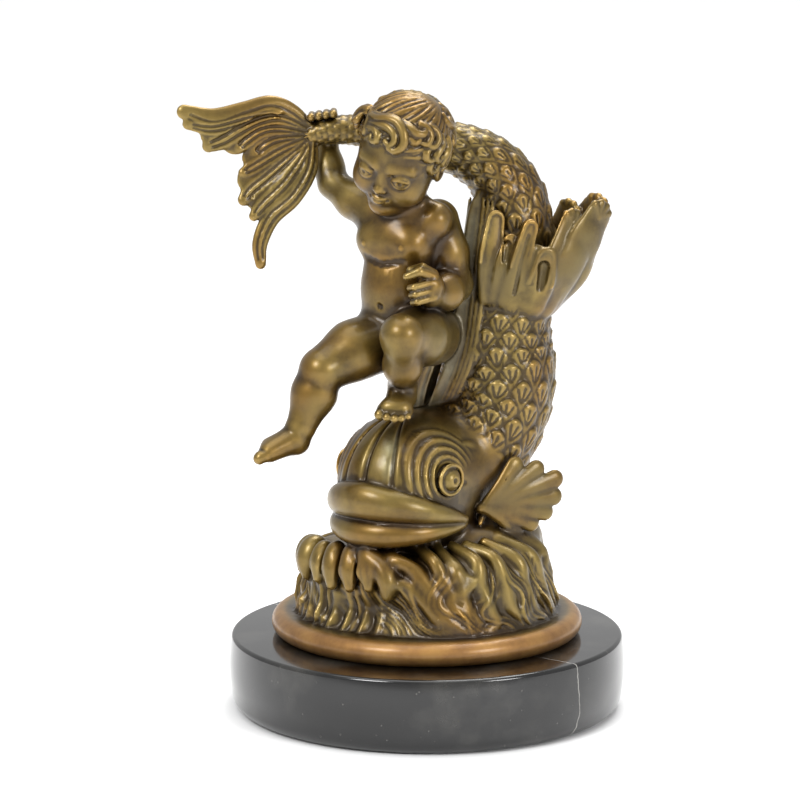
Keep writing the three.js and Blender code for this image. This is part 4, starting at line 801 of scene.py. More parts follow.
# The arm on the viewer's right is bent, with a fist before the belly.
bentArmSizes = {
    "upper": [(3.8, -7.5, 160, 8), (7.5, -8.5, 148, 7.6), (9.6, -9.5, 136, 7.2)],
    "fore": [(9.6, -9.5, 136, 7), (6.5, -17, 134.5, 6.9), (0.8, -26.5, 135, 4.7)],
    "palm": [
        [(0.8, -26.5, 135, 4.7), (1.2, -28.5, 138.5, 4.4)], [(1.2, -28.5, 138.5, 4.3), (0.4, -29.6, 135.5, 4)],
    ],
    "fingers": 3, "fingerTop": 139.4, "fingerStep": 2.75,
    "forefinger": [(2.2, -30.2, 142, 2), (-3.2, -33, 144.4, 1.8), (-7.8, -33.4, 142.6, 1.5)],
    "thumb": [(2, -29, 142.8, 2), (-2, -30.6, 145.6, 1.7), (-6.6, -32, 144.9, 1.4)],
    "upperFillet": 3, "foreFillet": 2,
}


def bentArm(clay):
    s = bentArmSizes
    arm(clay, s)
    for i in range(s["fingers"]):
        z = s["fingerTop"] - s["fingerStep"] * i
        knuckle, joint = vec(1.6 + 0.2 * i, -31.6, z + 0.6), vec(0.6 * i - 5.1, -34.2, z - 0.7)
        bent = joint + vec(-1.5, 2.2, -0.6)
        clay.add(limb(knuckle, joint, 1.6, 1.42), 0.35)
        clay.add(limb(joint, bent, 1.42, 1.3), 0.2)
        clay.add(limb(bent, joint + vec(1.2, 4.2, -0.6), 1.3, 1.25), 0.2)
    clay.join(limbs(s["forefinger"]), 0.6, 0.5)
    clay.join(limbs(s["thumb"]), 0.6, 0.5)


# The arm on the viewer's left is raised, and its hand holds the root of the tail.
raisedArmSizes = {
    "upper": [(-19.5, -6, 162.5, 7.4), (-27.5, 1.5, 166.2, 6.7), (-35.5, 8, 171.8, 5.7)],
    "fore": [(-35.5, 8, 171.8, 5.7), (-37.2, 11, 178, 5.4), (-37.6, 13.3, 186, 3.7)],
    "palm": [
        [(-37.6, 13.3, 186, 3.7), (-38.2, 13.8, 192, 4.2)],
        [(-41.2, 13.2, 193.5, 2.6), (-35.8, 13.2, 194.2, 2.6)],
    ],
    "fingers": 4, "firstFinger": (-43.6, 197), "fingerStep": (2.75, 0.42),
    "upperFillet": 3.5, "foreFillet": 1.6,
}


def raisedArm(clay):
    s = raisedArmSizes
    arm(clay, s)
    for i in range(s["fingers"]):
        x, z = (first + step * i for first, step in zip(s["firstFinger"], s["fingerStep"]))
        clay.add(limb((x + 0.4, 11.5, z - 2.2), (x + 0.1, 7.5, z + 1), 1.4, 1.35), 0.3)
        clay.add(limb((x + 0.1, 7.5, z + 1), (x, 3.6, z + 0.6), 1.3, 1.3), 0.2)
        clay.add(ball((x, 2.6, z + 0.5), 1.6), 0.15)


# The putto's head looks down to the viewer's left. The face is a plain child's.
headPose = Pose((-9.6, -20.3, 188), (-0.425, -0.833, -0.36), (0.126, -0.448, 0.8875))


headSizes = {  # place and radii
    "skull": ((-1, 0, 2.5), (17.4, 15.6, 15.8)), "face": ((4.2, 0, -5.5), (13.1, 14, 13.6)),
    "chin": ((11.4, 0, -17.8), (4.7, 5, 4.2)), "throat": ((6.5, 0, -17.5), (7.5, 7.5, 4.5)),
}


def head(clay):
    at = headPose.at
    for name, fillet in (("skull", 2), ("face", 4), ("chin", 3), ("throat", 3)):
        clay.add(egg(headPose, *headSizes[name]), fillet)
    for side in sides:  # cheek, socket, brow, eye and ear
        clay.add(egg(headPose, (8.2, 7.4 * side, -9.2), (7.6, 6.7, 6.8)), 3)
        clay.cut(egg(headPose, (19.2, 6.7 * side, -2.8), (3.2, 4.4, 2.6)), 3.5)
        clay.add(limb(at(15.6, 3.4 * side, 1), at(13, 10 * side, 0.8), 1.2, 1.1), 3)
        eye(clay, side)
        clay.add(egg(headPose, (-1.5, 15.2 * side, -4.4), (3.2, 1.6, 4.4)), 1)
        clay.cut(egg(headPose, (-1, 16.8 * side, -4.2), (1.7, 1, 2.6)), 0.6)
    nose(clay)
    mouth(clay)


def nose(clay):
    at = headPose.at
    clay.add(limb(at(15.6, 0, -2.6), at(17.6, 0, -7), 0.9, 1.2), 2.4)
    clay.add(ball(at(18.3, 0, -7.9), 1.55), 1.2)
    for side in sides:
        clay.add(ball(at(17.3, 1.55 * side, -8.5), 1), 0.8)
        clay.cut(ball(at(18, 0.9 * side, -9.5), 0.42), 0.4)


def mouth(clay):
    at = headPose.at
    clay.add(egg(headPose, (14.2, 0, -12.8), (3, 4.4, 3)), 2)
    clay.cut(limb(at(17.9, 0, -10.1), at(18.2, 0, -10.9), 0.35, 0.45), 0.7)
    for u, r, half, curl, bow in ((-11.9, 0.85, 2.9, -0.25, 0.3), (-13.6, 0.95, 2.3, 0.5, 0)):  # the two lips
        points = []
        for t in np.linspace(-1, 1, 9):
            rise = u - bow * math.exp(-(t / 0.22) ** 2) + curl * t * t
            points.append((*at(17.3 - 1.2 * t * t, half * t, rise), r * (1 - 0.5 * t * t)))
        clay.join(limbs(points), 0.45)
    for side in sides:
        clay.cut(ball(at(15.9, 3.3 * side, -12.6), 0.45), 0.8)


# The eyeball lies in a lid that is opened with an almond.
eyeSizes = {"ball": 3.3, "lid": 3.8, "half": 3, "rise": 1.6, "low": -0.3}


def eye(clay, side):
    centre = headPose.at(13.9, 6.6 * side, -3)
    ahead = Pose(centre, headPose.turn((1, 0.28 * side, -0.12)), headPose.axes[2])
    half, rise = eyeSizes["half"], eyeSizes["rise"]
    bow = (half ** 2 + rise ** 2) / (2 * rise)

    def distance(x, y, z):
        x, y, z = x - centre[0], y - centre[1], z - centre[2]
        f, l, u = (x * a[0] + y * a[1] + z * a[2] for a in ahead.axes)
        rho = np.sqrt(f * f + l * l + u * u)
        u = u - eyeSizes["low"]
        almond = np.maximum(np.hypot(l, u + (bow - rise)), np.hypot(l, u - (bow - rise))) - bow
        lid = -smoothMin(-(rho - eyeSizes["lid"]), almond, 0.5)
        pupil = 1.05 - np.hypot(l, u - 0.15)
        globe = rho - eyeSizes["ball"] + 0.6 * ramp(pupil, 0, 0.5) * (f > 0)
        return np.minimum(globe, lid)
    reach = eyeSizes["lid"]
    clay.add((centre - reach, centre + reach, distance), 0.7)
    crease = []
    for t in np.linspace(-1, 1, 9):
        rise = -1.5 + 0.75 * (1 - t * t) - 0.25 * t
        crease.append(headPose.at(14 + 3.55 * math.cos(1.1 * t), 6.6 * side + 3.3 * side * t, rise))
    fold(clay, crease, 0.28, 0.5)


# Hair: fine strands combed from a whorl, a forelock, and locks round the sides and the nape.
hairSizes = {
    "middle": (-2.4, 0, 4.2), "radii": (17.6, 16.4, 16.6), "whorl": (2.5, 0.85), "combed": 74, "thin": 0.72,
}
locks = [  # thickness, how far it stands out, then bearing and rise along it
    (1.7, 1.5, (-0.95, 0.62), (-0.62, 0.72), (-0.3, 0.84), (0.05, 0.84), (0.3, 0.66), (0.34, 0.44), (0.2, 0.28),
     (0.04, 0.3)),
    (1.4, 1.2, (-0.8, 0.5), (-0.52, 0.62), (-0.24, 0.7), (0.02, 0.64), (0.12, 0.48), (0.04, 0.36), (-0.1, 0.4)),
    (1.3, 1.1, (-0.95, 0.36), (-0.72, 0.44), (-0.5, 0.5), (-0.34, 0.44), (-0.32, 0.32), (-0.44, 0.27),
     (-0.52, 0.34)),
    (1.2, 0.8, (-1.3, 0.62), (-1.02, 0.56), (-0.82, 0.42), (-0.8, 0.26), (-0.94, 0.2)),
    (1.5, 1.1, (0.2, 0.86), (0.46, 0.78), (0.66, 0.68), (0.84, 0.66), (0.98, 0.74)),
    (1.2, 0.9, (0.26, 0.62), (0.46, 0.58), (0.62, 0.5), (0.72, 0.56), (0.68, 0.64)),
    (1.3, 1, (0.8, 0.9), (1, 0.76), (1.04, 0.58), (0.92, 0.44), (0.78, 0.48)),
    (1.3, 1.1, (1.1, 0.8), (1.26, 0.64), (1.24, 0.46), (1.1, 0.36), (0.98, 0.4), (1, 0.5)),
    (1.2, 1.1, (1.02, 0.34), (0.9, 0.24), (0.92, 0.1), (1.06, 0.06), (1.12, 0.16)),
    (1.3, 1.3, (1.4, 0.5), (1.36, 0.32), (1.22, 0.22), (1.12, 0.1), (1.2, -0.02), (1.32, 0.02)),
    (1.3, 1.3, (1.62, 0.34), (1.6, 0.14), (1.46, 0.04), (1.34, -0.1), (1.4, -0.24), (1.54, -0.2)),
    (1.2, 1.1, (1.1, -0.02), (1.02, -0.14), (1.08, -0.28), (1.22, -0.3), (1.28, -0.2)),
    (1.2, 1.2, (1.7, 0), (1.68, -0.18), (1.56, -0.3), (1.5, -0.44), (1.6, -0.54), (1.72, -0.46)),
    (1.6, 3.4, (-1.25, 0.56), (-1.36, 0.44), (-1.34, 0.3), (-1.22, 0.22), (-1.14, 0.3), (-1.2, 0.38)),
    (1.5, 2.6, (-1.5, 0.42), (-1.54, 0.24), (-1.46, 0.08), (-1.34, 0.04), (-1.3, 0.14)),
    (1.2, 1, (-1.6, 0.08), (-1.62, -0.08), (-1.5, -0.2), (-1.4, -0.14)),
]


def heading(bearing, rise):
    return vec(math.cos(rise) * math.cos(bearing), math.cos(rise) * math.sin(bearing), math.sin(rise))


# A place on the hair, or lifted from it.
def onHair(bearing, rise, lift):
    radii = vec(*hairSizes["radii"]) + lift
    return headPose.at(*(vec(*hairSizes["middle"]) + heading(bearing, rise) * radii))


def hair(clay):
    h = hairSizes
    clay.add(egg(headPose, h["middle"], [r - 0.2 for r in h["radii"]]), 0.8)
    whorl = heading(*h["whorl"])
    for i in range(h["combed"]):
        bearing = 2 * math.pi * i / h["combed"]
        front = max(0, math.cos(bearing + 0.15))
        end = heading(bearing, 0.3 * front ** 2 - 0.5 * (1 - front))
        side = np.cross(whorl, end)
        points = []
        lift = -0.3 + 0.3 * math.sin(2.2 * i) ** 2
        for t in np.linspace(0.05, 1, 10):
            bend = 0.42 * math.sin(math.pi * t) + 0.035 * math.sin(9 * t + 1.7 * i)
            v = unit(whorl * (1 - t) + end * t + bend * side)
            place = onHair(math.atan2(v[1], v[0]), math.asin(v[2]), lift)
            points.append((*place, h["thin"] * (1.1 - 0.4 * abs(t - 0.5))))
        clay.join(strand(points, 2), 0.2)
    for thick, out, *line in locks:
        lock(clay, thick, out, line)
    # Rows of locks go round the ears and the nape.
    hooked = ((0, 0.28), (0.1, 0.12), (-0.02, -0.06), (-0.16, -0.14), (-0.22, -0.02), (-0.12, 0.05))
    for row, (rise, count) in enumerate(((0.5, 9), (0.14, 11), (-0.2, 11), (-0.52, 9))):
        for i in range(count):
            bearing = 1.95 + (2 * math.pi - 3.85) * (i + 0.5 * (row % 2)) / count
            hook = 1 if (i + row) % 2 else -1
            lock(clay, 1.25, 0.9, [(bearing + turn * hook, rise + up) for turn, up in hooked])


# A lock is three strands side by side along a line on the head, rising from it.
def lock(clay, thick, out, line):
    count = len(line) - 1
    for beside, size, lift in ((0, 1, 0), (1, 0.62, -0.25), (-1, 0.62, -0.25)):
        points = []
        for i, (bearing, rise) in enumerate(line):
            t = i / count
            ahead = np.subtract(line[min(i + 1, count)], line[max(i - 1, 0)])
            ahead = ahead / np.hypot(*ahead) * 0.055 * thick * beside * (1 - t) ** 0.5
            high = out * math.sin(math.pi * min(1, 0.15 + 0.6 * t)) + lift
            place = onHair(bearing - ahead[1], rise + ahead[0], high)
            points.append((*place, thick * size * (0.35 + 0.65 * math.sin(math.pi * min(1, 0.2 + 0.62 * t)))))
        clay.join(strand(points, 4), 0.2)


clay = Clay(clayGrid)
fish = (waves, fishBody, fishHead, dorsalFin, leafFin, tailFin)
putto = (torso, bentLeg, hangingLeg, bentArm, raisedArm, head, hair)
for part in fish + putto:
    part(clay)
    print("modelled", part.__name__)


# The mesh: how many triangles, and over how many cells its relief is measured for the patina and for painted shade.
bronzeSizes = {
    "triangles": 190000, "quickTriangles": 120000, "plinthHeight": 29, "fineBlur": 1, "wideBlur": 8,
}


# Mean of the values within reach along each axis.
def blur(values, reach):
    for axis in range(3):
        moved = np.moveaxis(values, axis, 0)
        padded = np.pad(moved, ((reach + 1, reach), (0, 0), (0, 0)), mode="edge")
        total = np.cumsum(padded, axis=0, dtype=np.float32)
        moved = (total[2 * reach + 1:] - total[:-2 * reach - 1]) / (2 * reach + 1)
        values = np.moveaxis(moved, 0, axis)
    return values


# Values between the cells of the grid.
def sampled(values, places):
    size = np.array(values.shape) - 1
    base = np.clip(np.floor(places).astype(int), 0, size - 1)
    t = np.clip(places - base, 0, 1)
    total = 0
    for corner in range(8):
        bits = np.array([corner >> i & 1 for i in range(3)])
        weight = np.prod(np.where(bits, t, 1 - t), axis=1)
        total = total + weight * values[tuple((base + bits).T)]
    return total


# The clay's surface as a mesh in metres, standing on the plinth.
def clayMesh(clay, name):
    grid = openvdb.FloatGrid(clay.farAway)
    grid.copyFromArray(np.clip(clay.field, -3, 3), tolerance=0.0)
    places, triangles, quads = grid.convertToPolygons(isovalue=0.0, adaptivity=0.0)
    points = np.stack([np.interp(places[:, i], np.arange(len(a)), a) for i, a in enumerate(clay.axes)], 1)
    points = (points + (0, 0, bronzeSizes["plinthHeight"])) / 1000
    mesh = bpy.data.meshes.new(name)
    mesh.vertices.add(len(points))
    mesh.vertices.foreach_set("co", points.astype(np.float32).ravel())
    mesh.loops.add(4 * len(quads))
    mesh.loops.foreach_set("vertex_index", quads.astype(np.int32).ravel())
    mesh.polygons.add(len(quads))
    mesh.polygons.foreach_set("loop_start", 4 * np.arange(len(quads), dtype=np.int32))
    mesh.update(calc_edges=True)
    mesh.validate()
    return mesh


def linked(name, mesh):
    piece = bpy.data.objects.new(name, mesh)
    scene.collection.objects.link(piece)
    return piece


# Turns a piece into the plain mesh that its modifiers make.
def applyModifiers(piece):
    bpy.context.view_layer.update()
    result = bpy.data.meshes.new_from_object(piece.evaluated_get(bpy.context.evaluated_depsgraph_get()))
    result.name = piece.name
    piece.modifiers.clear()
    piece.data = result


bronze = linked("bronze_casting", clayMesh(clay, "bronze_casting"))
print("meshed", len(bronze.data.vertices))
wanted = bronzeSizes["triangles"]
decimate = bronze.modifiers.new("fewer", "DECIMATE")
decimate.ratio = min(1, wanted / (2 * len(bronze.data.polygons)))
applyModifiers(bronze)
bronze.data.polygons.foreach_set("use_smooth", np.ones(len(bronze.data.polygons), bool))
print("decimated", len(bronze.data.vertices), len(bronze.data.polygons))

# How far each place stands out or lies back, close up and over a wider reach. The wider reach is used to paint
# shade where the bronze lies deep among other parts.
solid = np.clip(0.5 - clay.field / 1.2, 0, 1).astype(np.float32)
points = np.zeros(3 * len(bronze.data.vertices))
bronze.data.vertices.foreach_get("co", points)
points = points.reshape(-1, 3) * 1000 - (0, 0, bronzeSizes["plinthHeight"])
places = np.stack([np.interp(points[:, i], a, np.arange(len(a))) for i, a in enumerate(clay.axes)], 1)
for name, reach in (("fineRelief", bronzeSizes["fineBlur"]), ("shadeRelief", bronzeSizes["wideBlur"])):
    spread = blur(blur(solid, reach), reach)
    layer = bronze.data.attributes.new(name, "FLOAT", "POINT")
    layer.data.foreach_set("value", sampled(spread, places).astype(np.float32))
print("relief measured")

# Lines along which painted shade darkens the bronze, or the patina is greyed or worn pale, each point with its
# reach in mm.
patinaAndShadeLines = {
    "paintedShade": [
        # painted shade over the leaf fin, then over the two pectoral fans
        [((26, -10, 138), 9), ((40, -9, 144), 10), ((52, -2, 146), 12), ((61, 3, 156), 12)],
        *([(fishPose.at(-15, 25 * side, -9), 4), (fishPose.at(-36, 41 * side, 0), 15)] for side in sides),
    ],
    "greyed": [[((-2, -2, 86), 5), ((7, -5, 106), 5), ((13, -4, 134), 4.5), ((16, 3, 165), 4)]],
    "worn": [[((-12.5, -31, 88), 4), ((-14, -35.5, 78.5), 2.6), ((-15, -41, 69), 1.4)]],
}
for name, lines in patinaAndShadeLines.items():
    least = np.full(len(points), 9.0)
    for (a, ra), (b, rb) in ((a, b) for line in lines for a, b in zip(line, line[1:])):
        least = np.minimum(least, limb(a, b, ra, rb)[2](points[:, 0], points[:, 1], points[:, 2]))
    layer = bronze.data.attributes.new(name, "FLOAT", "POINT")
    layer.data.foreach_set("value", ramp(-least, -1.5, 1.5).astype(np.float32))


# Materials.
def newMaterial(name):
    material = bpy.data.materials.new(name)
    material.use_nodes = True
    tree = material.node_tree
    return material, tree, tree.nodes["Principled BSDF"]


# Adds a node with its settings, input values, links and colour stops, and gives back its named output.
def node(tree, kind, output=None, stops=(), **given):
    made = tree.nodes.new(kind)
    for key, value in given.items():
        if hasattr(made, key):
            setattr(made, key, value)
            continue
        socket = next(s for s in made.inputs if key in (s.identifier, s.name.replace(" ", "")))
        if isinstance(value, bpy.types.NodeSocket):
            tree.links.new(value, socket)
        else:
            socket.default_value = value
    while stops and len(made.color_ramp.elements) < len(stops):
        made.color_ramp.elements.new(0.5)
    for element, (place, shade) in zip(made.color_ramp.elements if stops else (), stops):
        element.position = place
        element.color = colour(shade)
    return next(s for s in made.outputs if output in (s.identifier, s.name)) if output else made


# Cast bronze. Its patina gives a satin olive brown, browner in patches and on the moulding, rubbed to golden
# metal on raised edges and dark in fine crevices. Painted shade darkens it where it lies deep among other parts,
# and on the leaf fin and the pectoral fans. Sizes are those of one patch in mm.
bronzeFinish = {
    "mottle": 11.11, "patches": 35.7, "grain": 1.111, "grainDepth": 0.2,
    "rubbed": ((0.05, "#453716"), (0.3, "#786530"), (0.7, "#927a3f"), (1.0, "#cbac66")),
    # hollow is the colour of painted shade, multiplied in where the bronze lies deep among other parts
    "brown": "#f3d28a", "hollow": "#9e8a50", "moulding": ((0.35, "#855f33"), (0.65, "#a37a42")),
    # the first line is painted shade on the leaf fin and the pectoral fans; the others are greyed and worn patina
    "lines": (("paintedShade", "#5f512a", 0.7), ("greyed", "#7f7a64", 0.75), ("worn", "#9c9d7f", 0.6)),
    "metallic": 0.85, "polished": 0.32, "dull": 0.48, "coat": 0.55, "coatRoughness": 0.24,
}


def bronzeMaterial():
    b = bronzeFinish
    material, tree, shader = newMaterial("patinated_bronze")
    place = node(tree, "ShaderNodeTexCoord", "Object")
    fine = node(tree, "ShaderNodeAttribute", "Fac", attribute_name="fineRelief")
    wide = node(tree, "ShaderNodeAttribute", "Fac", attribute_name="shadeRelief")
    mottle = node(tree, "ShaderNodeTexNoise", "Fac", Vector=place, Scale=1000 / b["mottle"], Detail=5.0,
                  Roughness=0.6)
    patches = node(tree, "ShaderNodeTexNoise", "Fac", Vector=place, Scale=1000 / b["patches"], Detail=2.0)
    grain = node(tree, "ShaderNodeTexNoise", "Fac", Vector=place, Scale=1000 / b["grain"], Detail=3.0)

    # Raised edges are rubbed, unevenly.
    raised = node(tree, "ShaderNodeMapRange", "Result", Value=fine, FromMin=0.54, FromMax=0.3)
    uneven = node(tree, "ShaderNodeMapRange", "Result", Value=mottle, FromMin=0.3, FromMax=0.7, ToMin=-0.12,
                  ToMax=0.12)
    rub = node(tree, "ShaderNodeMath", "Value", operation="ADD", Value=raised, Value_001=uneven)
    metal = node(tree, "ShaderNodeValToRGB", "Color", b["rubbed"], Fac=rub)
    browned = node(tree, "ShaderNodeMix", "Result_Color", data_type="RGBA", blend_type="MULTIPLY",
                   Factor_Float=1.0, A_Color=metal, B_Color=colour(b["brown"]))
    brown = node(tree, "ShaderNodeMapRange", "Result", Value=patches, FromMin=0.44, FromMax=0.62, ToMax=0.75)
    metal = node(tree, "ShaderNodeMix", "Result_Color", data_type="RGBA", Factor_Float=brown, A_Color=metal,
                 B_Color=browned)

    # The moulding is what lies low and far from the axis.
    parts = node(tree, "ShaderNodeSeparateXYZ", Vector=place).outputs
    level = node(tree, "ShaderNodeCombineXYZ", "Vector", X=parts["X"], Y=parts["Y"])
    reach = node(tree, "ShaderNodeVectorMath", "Value", operation="LENGTH", Vector=level)
    low = node(tree, "ShaderNodeMapRange", "Result", Value=parts["Z"], FromMin=0.0395, FromMax=0.0375)
    far = node(tree, "ShaderNodeMapRange", "Result", Value=reach, FromMin=0.0535, FromMax=0.0555)
    onRim = node(tree, "ShaderNodeMath", "Value", operation="MULTIPLY", Value=low, Value_001=far)
    moulding = node(tree, "ShaderNodeValToRGB", "Color", b["moulding"], Fac=mottle)
    metal = node(tree, "ShaderNodeMix", "Result_Color", data_type="RGBA", Factor_Float=onRim, A_Color=metal,
                 B_Color=moulding)

    # Along each line its colour is mixed in unevenly: painted shade, then greyed and worn patina.
    for name, shade, most in b["lines"]:
        along = node(tree, "ShaderNodeAttribute", "Fac", attribute_name=name)
        patchy = node(tree, "ShaderNodeMapRange", "Result", Value=mottle, FromMin=0.35, FromMax=0.6,
                      ToMin=0.35 * most, ToMax=most)
        share = node(tree, "ShaderNodeMath", "Value", operation="MULTIPLY", Value=along, Value_001=patchy)
        metal = node(tree, "ShaderNodeMix", "Result_Color", data_type="RGBA", Factor_Float=share, A_Color=metal,
                     B_Color=colour(shade))
    # Painted shade: darker towards hollow where much bronze lies round a place, as under the head and between the
    # parts.
    depth = node(tree, "ShaderNodeMapRange", "Result", Value=wide, FromMin=0.42, FromMax=0.76)
    metal = node(tree, "ShaderNodeMix", "Result_Color", data_type="RGBA", blend_type="MULTIPLY",
                 Factor_Float=depth, A_Color=metal, B_Color=colour(b["hollow"]))
    tree.links.new(metal, shader.inputs["Base Color"])

    satin = node(tree, "ShaderNodeMapRange", "Result", Value=rub, ToMin=b["dull"], ToMax=b["polished"])
    duller = node(tree, "ShaderNodeMath", "Value", operation="MULTIPLY", Value=onRim, Value_001=0.12)
    rough = node(tree, "ShaderNodeMath", "Value", operation="ADD", Value=satin, Value_001=duller)
    tree.links.new(rough, shader.inputs["Roughness"])
    bump = node(tree, "ShaderNodeBump", "Normal", Strength=0.1, Distance=b["grainDepth"] / 1000, Height=grain)
    tree.links.new(bump, shader.inputs["Normal"])
    shader.inputs["Metallic"].default_value = b["metallic"]
    shader.inputs["Coat Weight"].default_value = b["coat"]
    shader.inputs["Coat Roughness"].default_value = b["coatRoughness"]
    return material


bronze.data.materials.append(bronzeMaterial())
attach(bronze, "root")
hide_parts("bronze_putto_and_dolphin")
print("bronze done")

# The plinth is turned from a profile by Geometry Nodes, with its lengths in mm.
plinthSizes = {
    "Radius": 76.4, "Height": 29.0, "Top inset": 1.4, "Foot inset": 2.4, "Top edge": 1.6, "Foot edge": 6.0,
    "Swelling": 60.0, "Sides": 160,
}


# Lengths in metres, while a count stays as it is.
def forNodes(value):
    return value if isinstance(value, int) else value / 1000


def plinthTree():
    tree = bpy.data.node_groups.new("turned_plinth", "GeometryNodeTree")
    tree.interface.new_socket("Geometry", in_out="OUTPUT", socket_type="NodeSocketGeometry")
    for name, value in plinthSizes.items():
        kind = "NodeSocketInt" if isinstance(value, int) else "NodeSocketFloat"
        socket = tree.interface.new_socket(name, in_out="INPUT", socket_type=kind)
        socket.default_value = forNodes(value)
    tree.interface.new_socket("Material", in_out="INPUT", socket_type="NodeSocketMaterial")
    given = tree.nodes.new("NodeGroupInput").outputs

    # The profile's corners run from the axis out and back, and its own y points down once it is turned.
    scaled = {}
    for name, share in (("Radius", -0.9999), ("Foot inset", -1.0), ("Height", 0.55), ("Top inset", -1.0)):
        scaled[name] = node(tree, "ShaderNodeMath", "Value", operation="MULTIPLY", Value=given[name],
                            Value_001=share)
    corners = (
        (scaled["Radius"], 0.0, 0.0), (scaled["Foot inset"], 0.0, given["Foot edge"]),
        (0.0, scaled["Height"], given["Swelling"]), (scaled["Top inset"], given["Height"], given["Top edge"]),
        (scaled["Radius"], given["Height"], 0.0),
    )
    index = node(tree, "GeometryNodeInputIndex", "Index")
    place = node(tree, "GeometryNodeIndexSwitch", data_type="VECTOR", Index=index)
    edge = node(tree, "GeometryNodeIndexSwitch", data_type="FLOAT", Index=index)
    for made in (place, edge):
        while len(made.index_switch_items) < len(corners):
            made.index_switch_items.new()
        tree.links.new(index, made.inputs[0])
    for i, (x, z, radius) in enumerate(corners):
        down = node(tree, "ShaderNodeMath", "Value", operation="MULTIPLY", Value=z, Value_001=-1.0)
        corner = node(tree, "ShaderNodeCombineXYZ", "Vector", X=x, Y=down)
        tree.links.new(corner, place.inputs[i + 1])
        if radius:
            tree.links.new(radius, edge.inputs[i + 1])
    line = node(tree, "GeometryNodeMeshLine", "Mesh", Count=len(corners))
    line = node(tree, "GeometryNodeSetPosition", "Geometry", Geometry=line, Position=place.outputs[0])
    profile = node(tree, "GeometryNodeMeshToCurve", "Curve", Mesh=line)
    profile = node(tree, "GeometryNodeFilletCurve", "Curve", mode="POLY", Curve=profile, Count=10,
                   Radius=edge.outputs[0], LimitRadius=True)
    rail = node(tree, "GeometryNodeCurvePrimitiveCircle", "Curve", Resolution=given["Sides"],
                Radius=given["Radius"])
    body = node(tree, "GeometryNodeCurveToMesh", "Mesh", Curve=rail, ProfileCurve=profile)
    body = node(tree, "GeometryNodeMergeByDistance", "Geometry", Geometry=body, Distance=2e-5)
    body = node(tree, "GeometryNodeFlipFaces", "Mesh", Mesh=body)
    body = node(tree, "GeometryNodeRealizeInstances", "Geometry", Geometry=body)
    body = node(tree, "GeometryNodeSetMaterial", "Geometry", Geometry=body, Material=given["Material"])
    tree.links.new(body, node(tree, "NodeGroupOutput").inputs["Geometry"])
    return tree


# Polished black marble: nearly black and glossy, with faint clouds, pale specks and white veins. Sizes are those
# of one cloud, speck or bend in mm. Each vein is where a bent upright plane from the axis cuts the disc.
marbleFinish = {
    "clouds": 31.25, "specks": 4.17, "bends": 14.3, "bendBy": 9,
    "cloudy": ((0.36, "#050505"), (0.52, "#0b0b0b"), (0.7, "#33322f")), "speck": "#55534f",
    # bearing in degrees, width in mm and colour
    "veins": ((-36.5, 0.36, "#8f8d88"), (-20, 0.16, "#4f4d48"), (141, 0.4, "#a3a19c")),
    "roughness": 0.14, "coat": 0.35, "coatRoughness": 0.06,
}


def marbleMaterial():
    m = marbleFinish
    material, tree, shader = newMaterial("black_marble")
    place = node(tree, "ShaderNodeTexCoord", "Object")
    cloud = node(tree, "ShaderNodeTexNoise", "Fac", Vector=place, Scale=1000 / m["clouds"], Detail=6.0,
                 Roughness=0.6)
    base = node(tree, "ShaderNodeValToRGB", "Color", m["cloudy"], Fac=cloud)
    cells = node(tree, "ShaderNodeTexVoronoi", "Distance", Vector=place, Scale=1000 / m["specks"])
    speck = node(tree, "ShaderNodeMapRange", "Result", Value=cells, FromMin=0.09, FromMax=0.04)
    colours = node(tree, "ShaderNodeMix", "Result_Color", data_type="RGBA", Factor_Float=speck, A_Color=base,
                   B_Color=colour(m["speck"]))

    swirl = node(tree, "ShaderNodeTexNoise", "Color", Vector=place, Scale=1000 / m["bends"], Detail=4.0)
    bent = node(tree, "ShaderNodeVectorMath", "Vector", operation="MULTIPLY_ADD", Vector=swirl,
                Vector_001=3 * (m["bendBy"] / 1000,), Vector_002=place)
    for bearing, width, shade in m["veins"]:
        a = math.radians(bearing)
        width = width / 1000
        away = node(tree, "ShaderNodeVectorMath", "Value", operation="DOT_PRODUCT", Vector=bent,
                    Vector_001=(-math.sin(a), math.cos(a), 0.04))
        along = node(tree, "ShaderNodeVectorMath", "Value", operation="DOT_PRODUCT", Vector=bent,
                     Vector_001=(math.cos(a), math.sin(a), 0))
        away = node(tree, "ShaderNodeMath", "Value", operation="ABSOLUTE", Value=away)
        line = node(tree, "ShaderNodeMapRange", "Result", Value=away, FromMin=width, FromMax=0.3 * width)
        outer = node(tree, "ShaderNodeMapRange", "Result", Value=along, FromMin=0.05, FromMax=0.07)
        line = node(tree, "ShaderNodeMath", "Value", operation="MULTIPLY", Value=line, Value_001=outer)
        colours = node(tree, "ShaderNodeMix", "Result_Color", data_type="RGBA", Factor_Float=line,
                       A_Color=colours, B_Color=colour(shade))
    tree.links.new(colours, shader.inputs["Base Color"])
    shader.inputs["Roughness"].default_value = m["roughness"]
    shader.inputs["Coat Weight"].default_value = m["coat"]
    shader.inputs["Coat Roughness"].default_value = m["coatRoughness"]
    return material


plinth = linked("marble_disc", bpy.data.meshes.new("marble_disc"))
lathe = plinth.modifiers.new("lathe", "NODES")
lathe.node_group = plinthTree()
marble = marbleMaterial()
for item in lathe.node_group.interface.items_tree:
    if item.in_out == "INPUT":
        lathe[item.identifier] = marble if item.name == "Material" else forNodes(plinthSizes[item.name])
applyModifiers(plinth)
plinth.data.polygons.foreach_set("use_smooth", np.ones(len(plinth.data.polygons), bool))
print("plinth", len(plinth.data.vertices), [round(v, 4) for v in plinth.dimensions])
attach(plinth, "root")
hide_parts("marble_plinth")

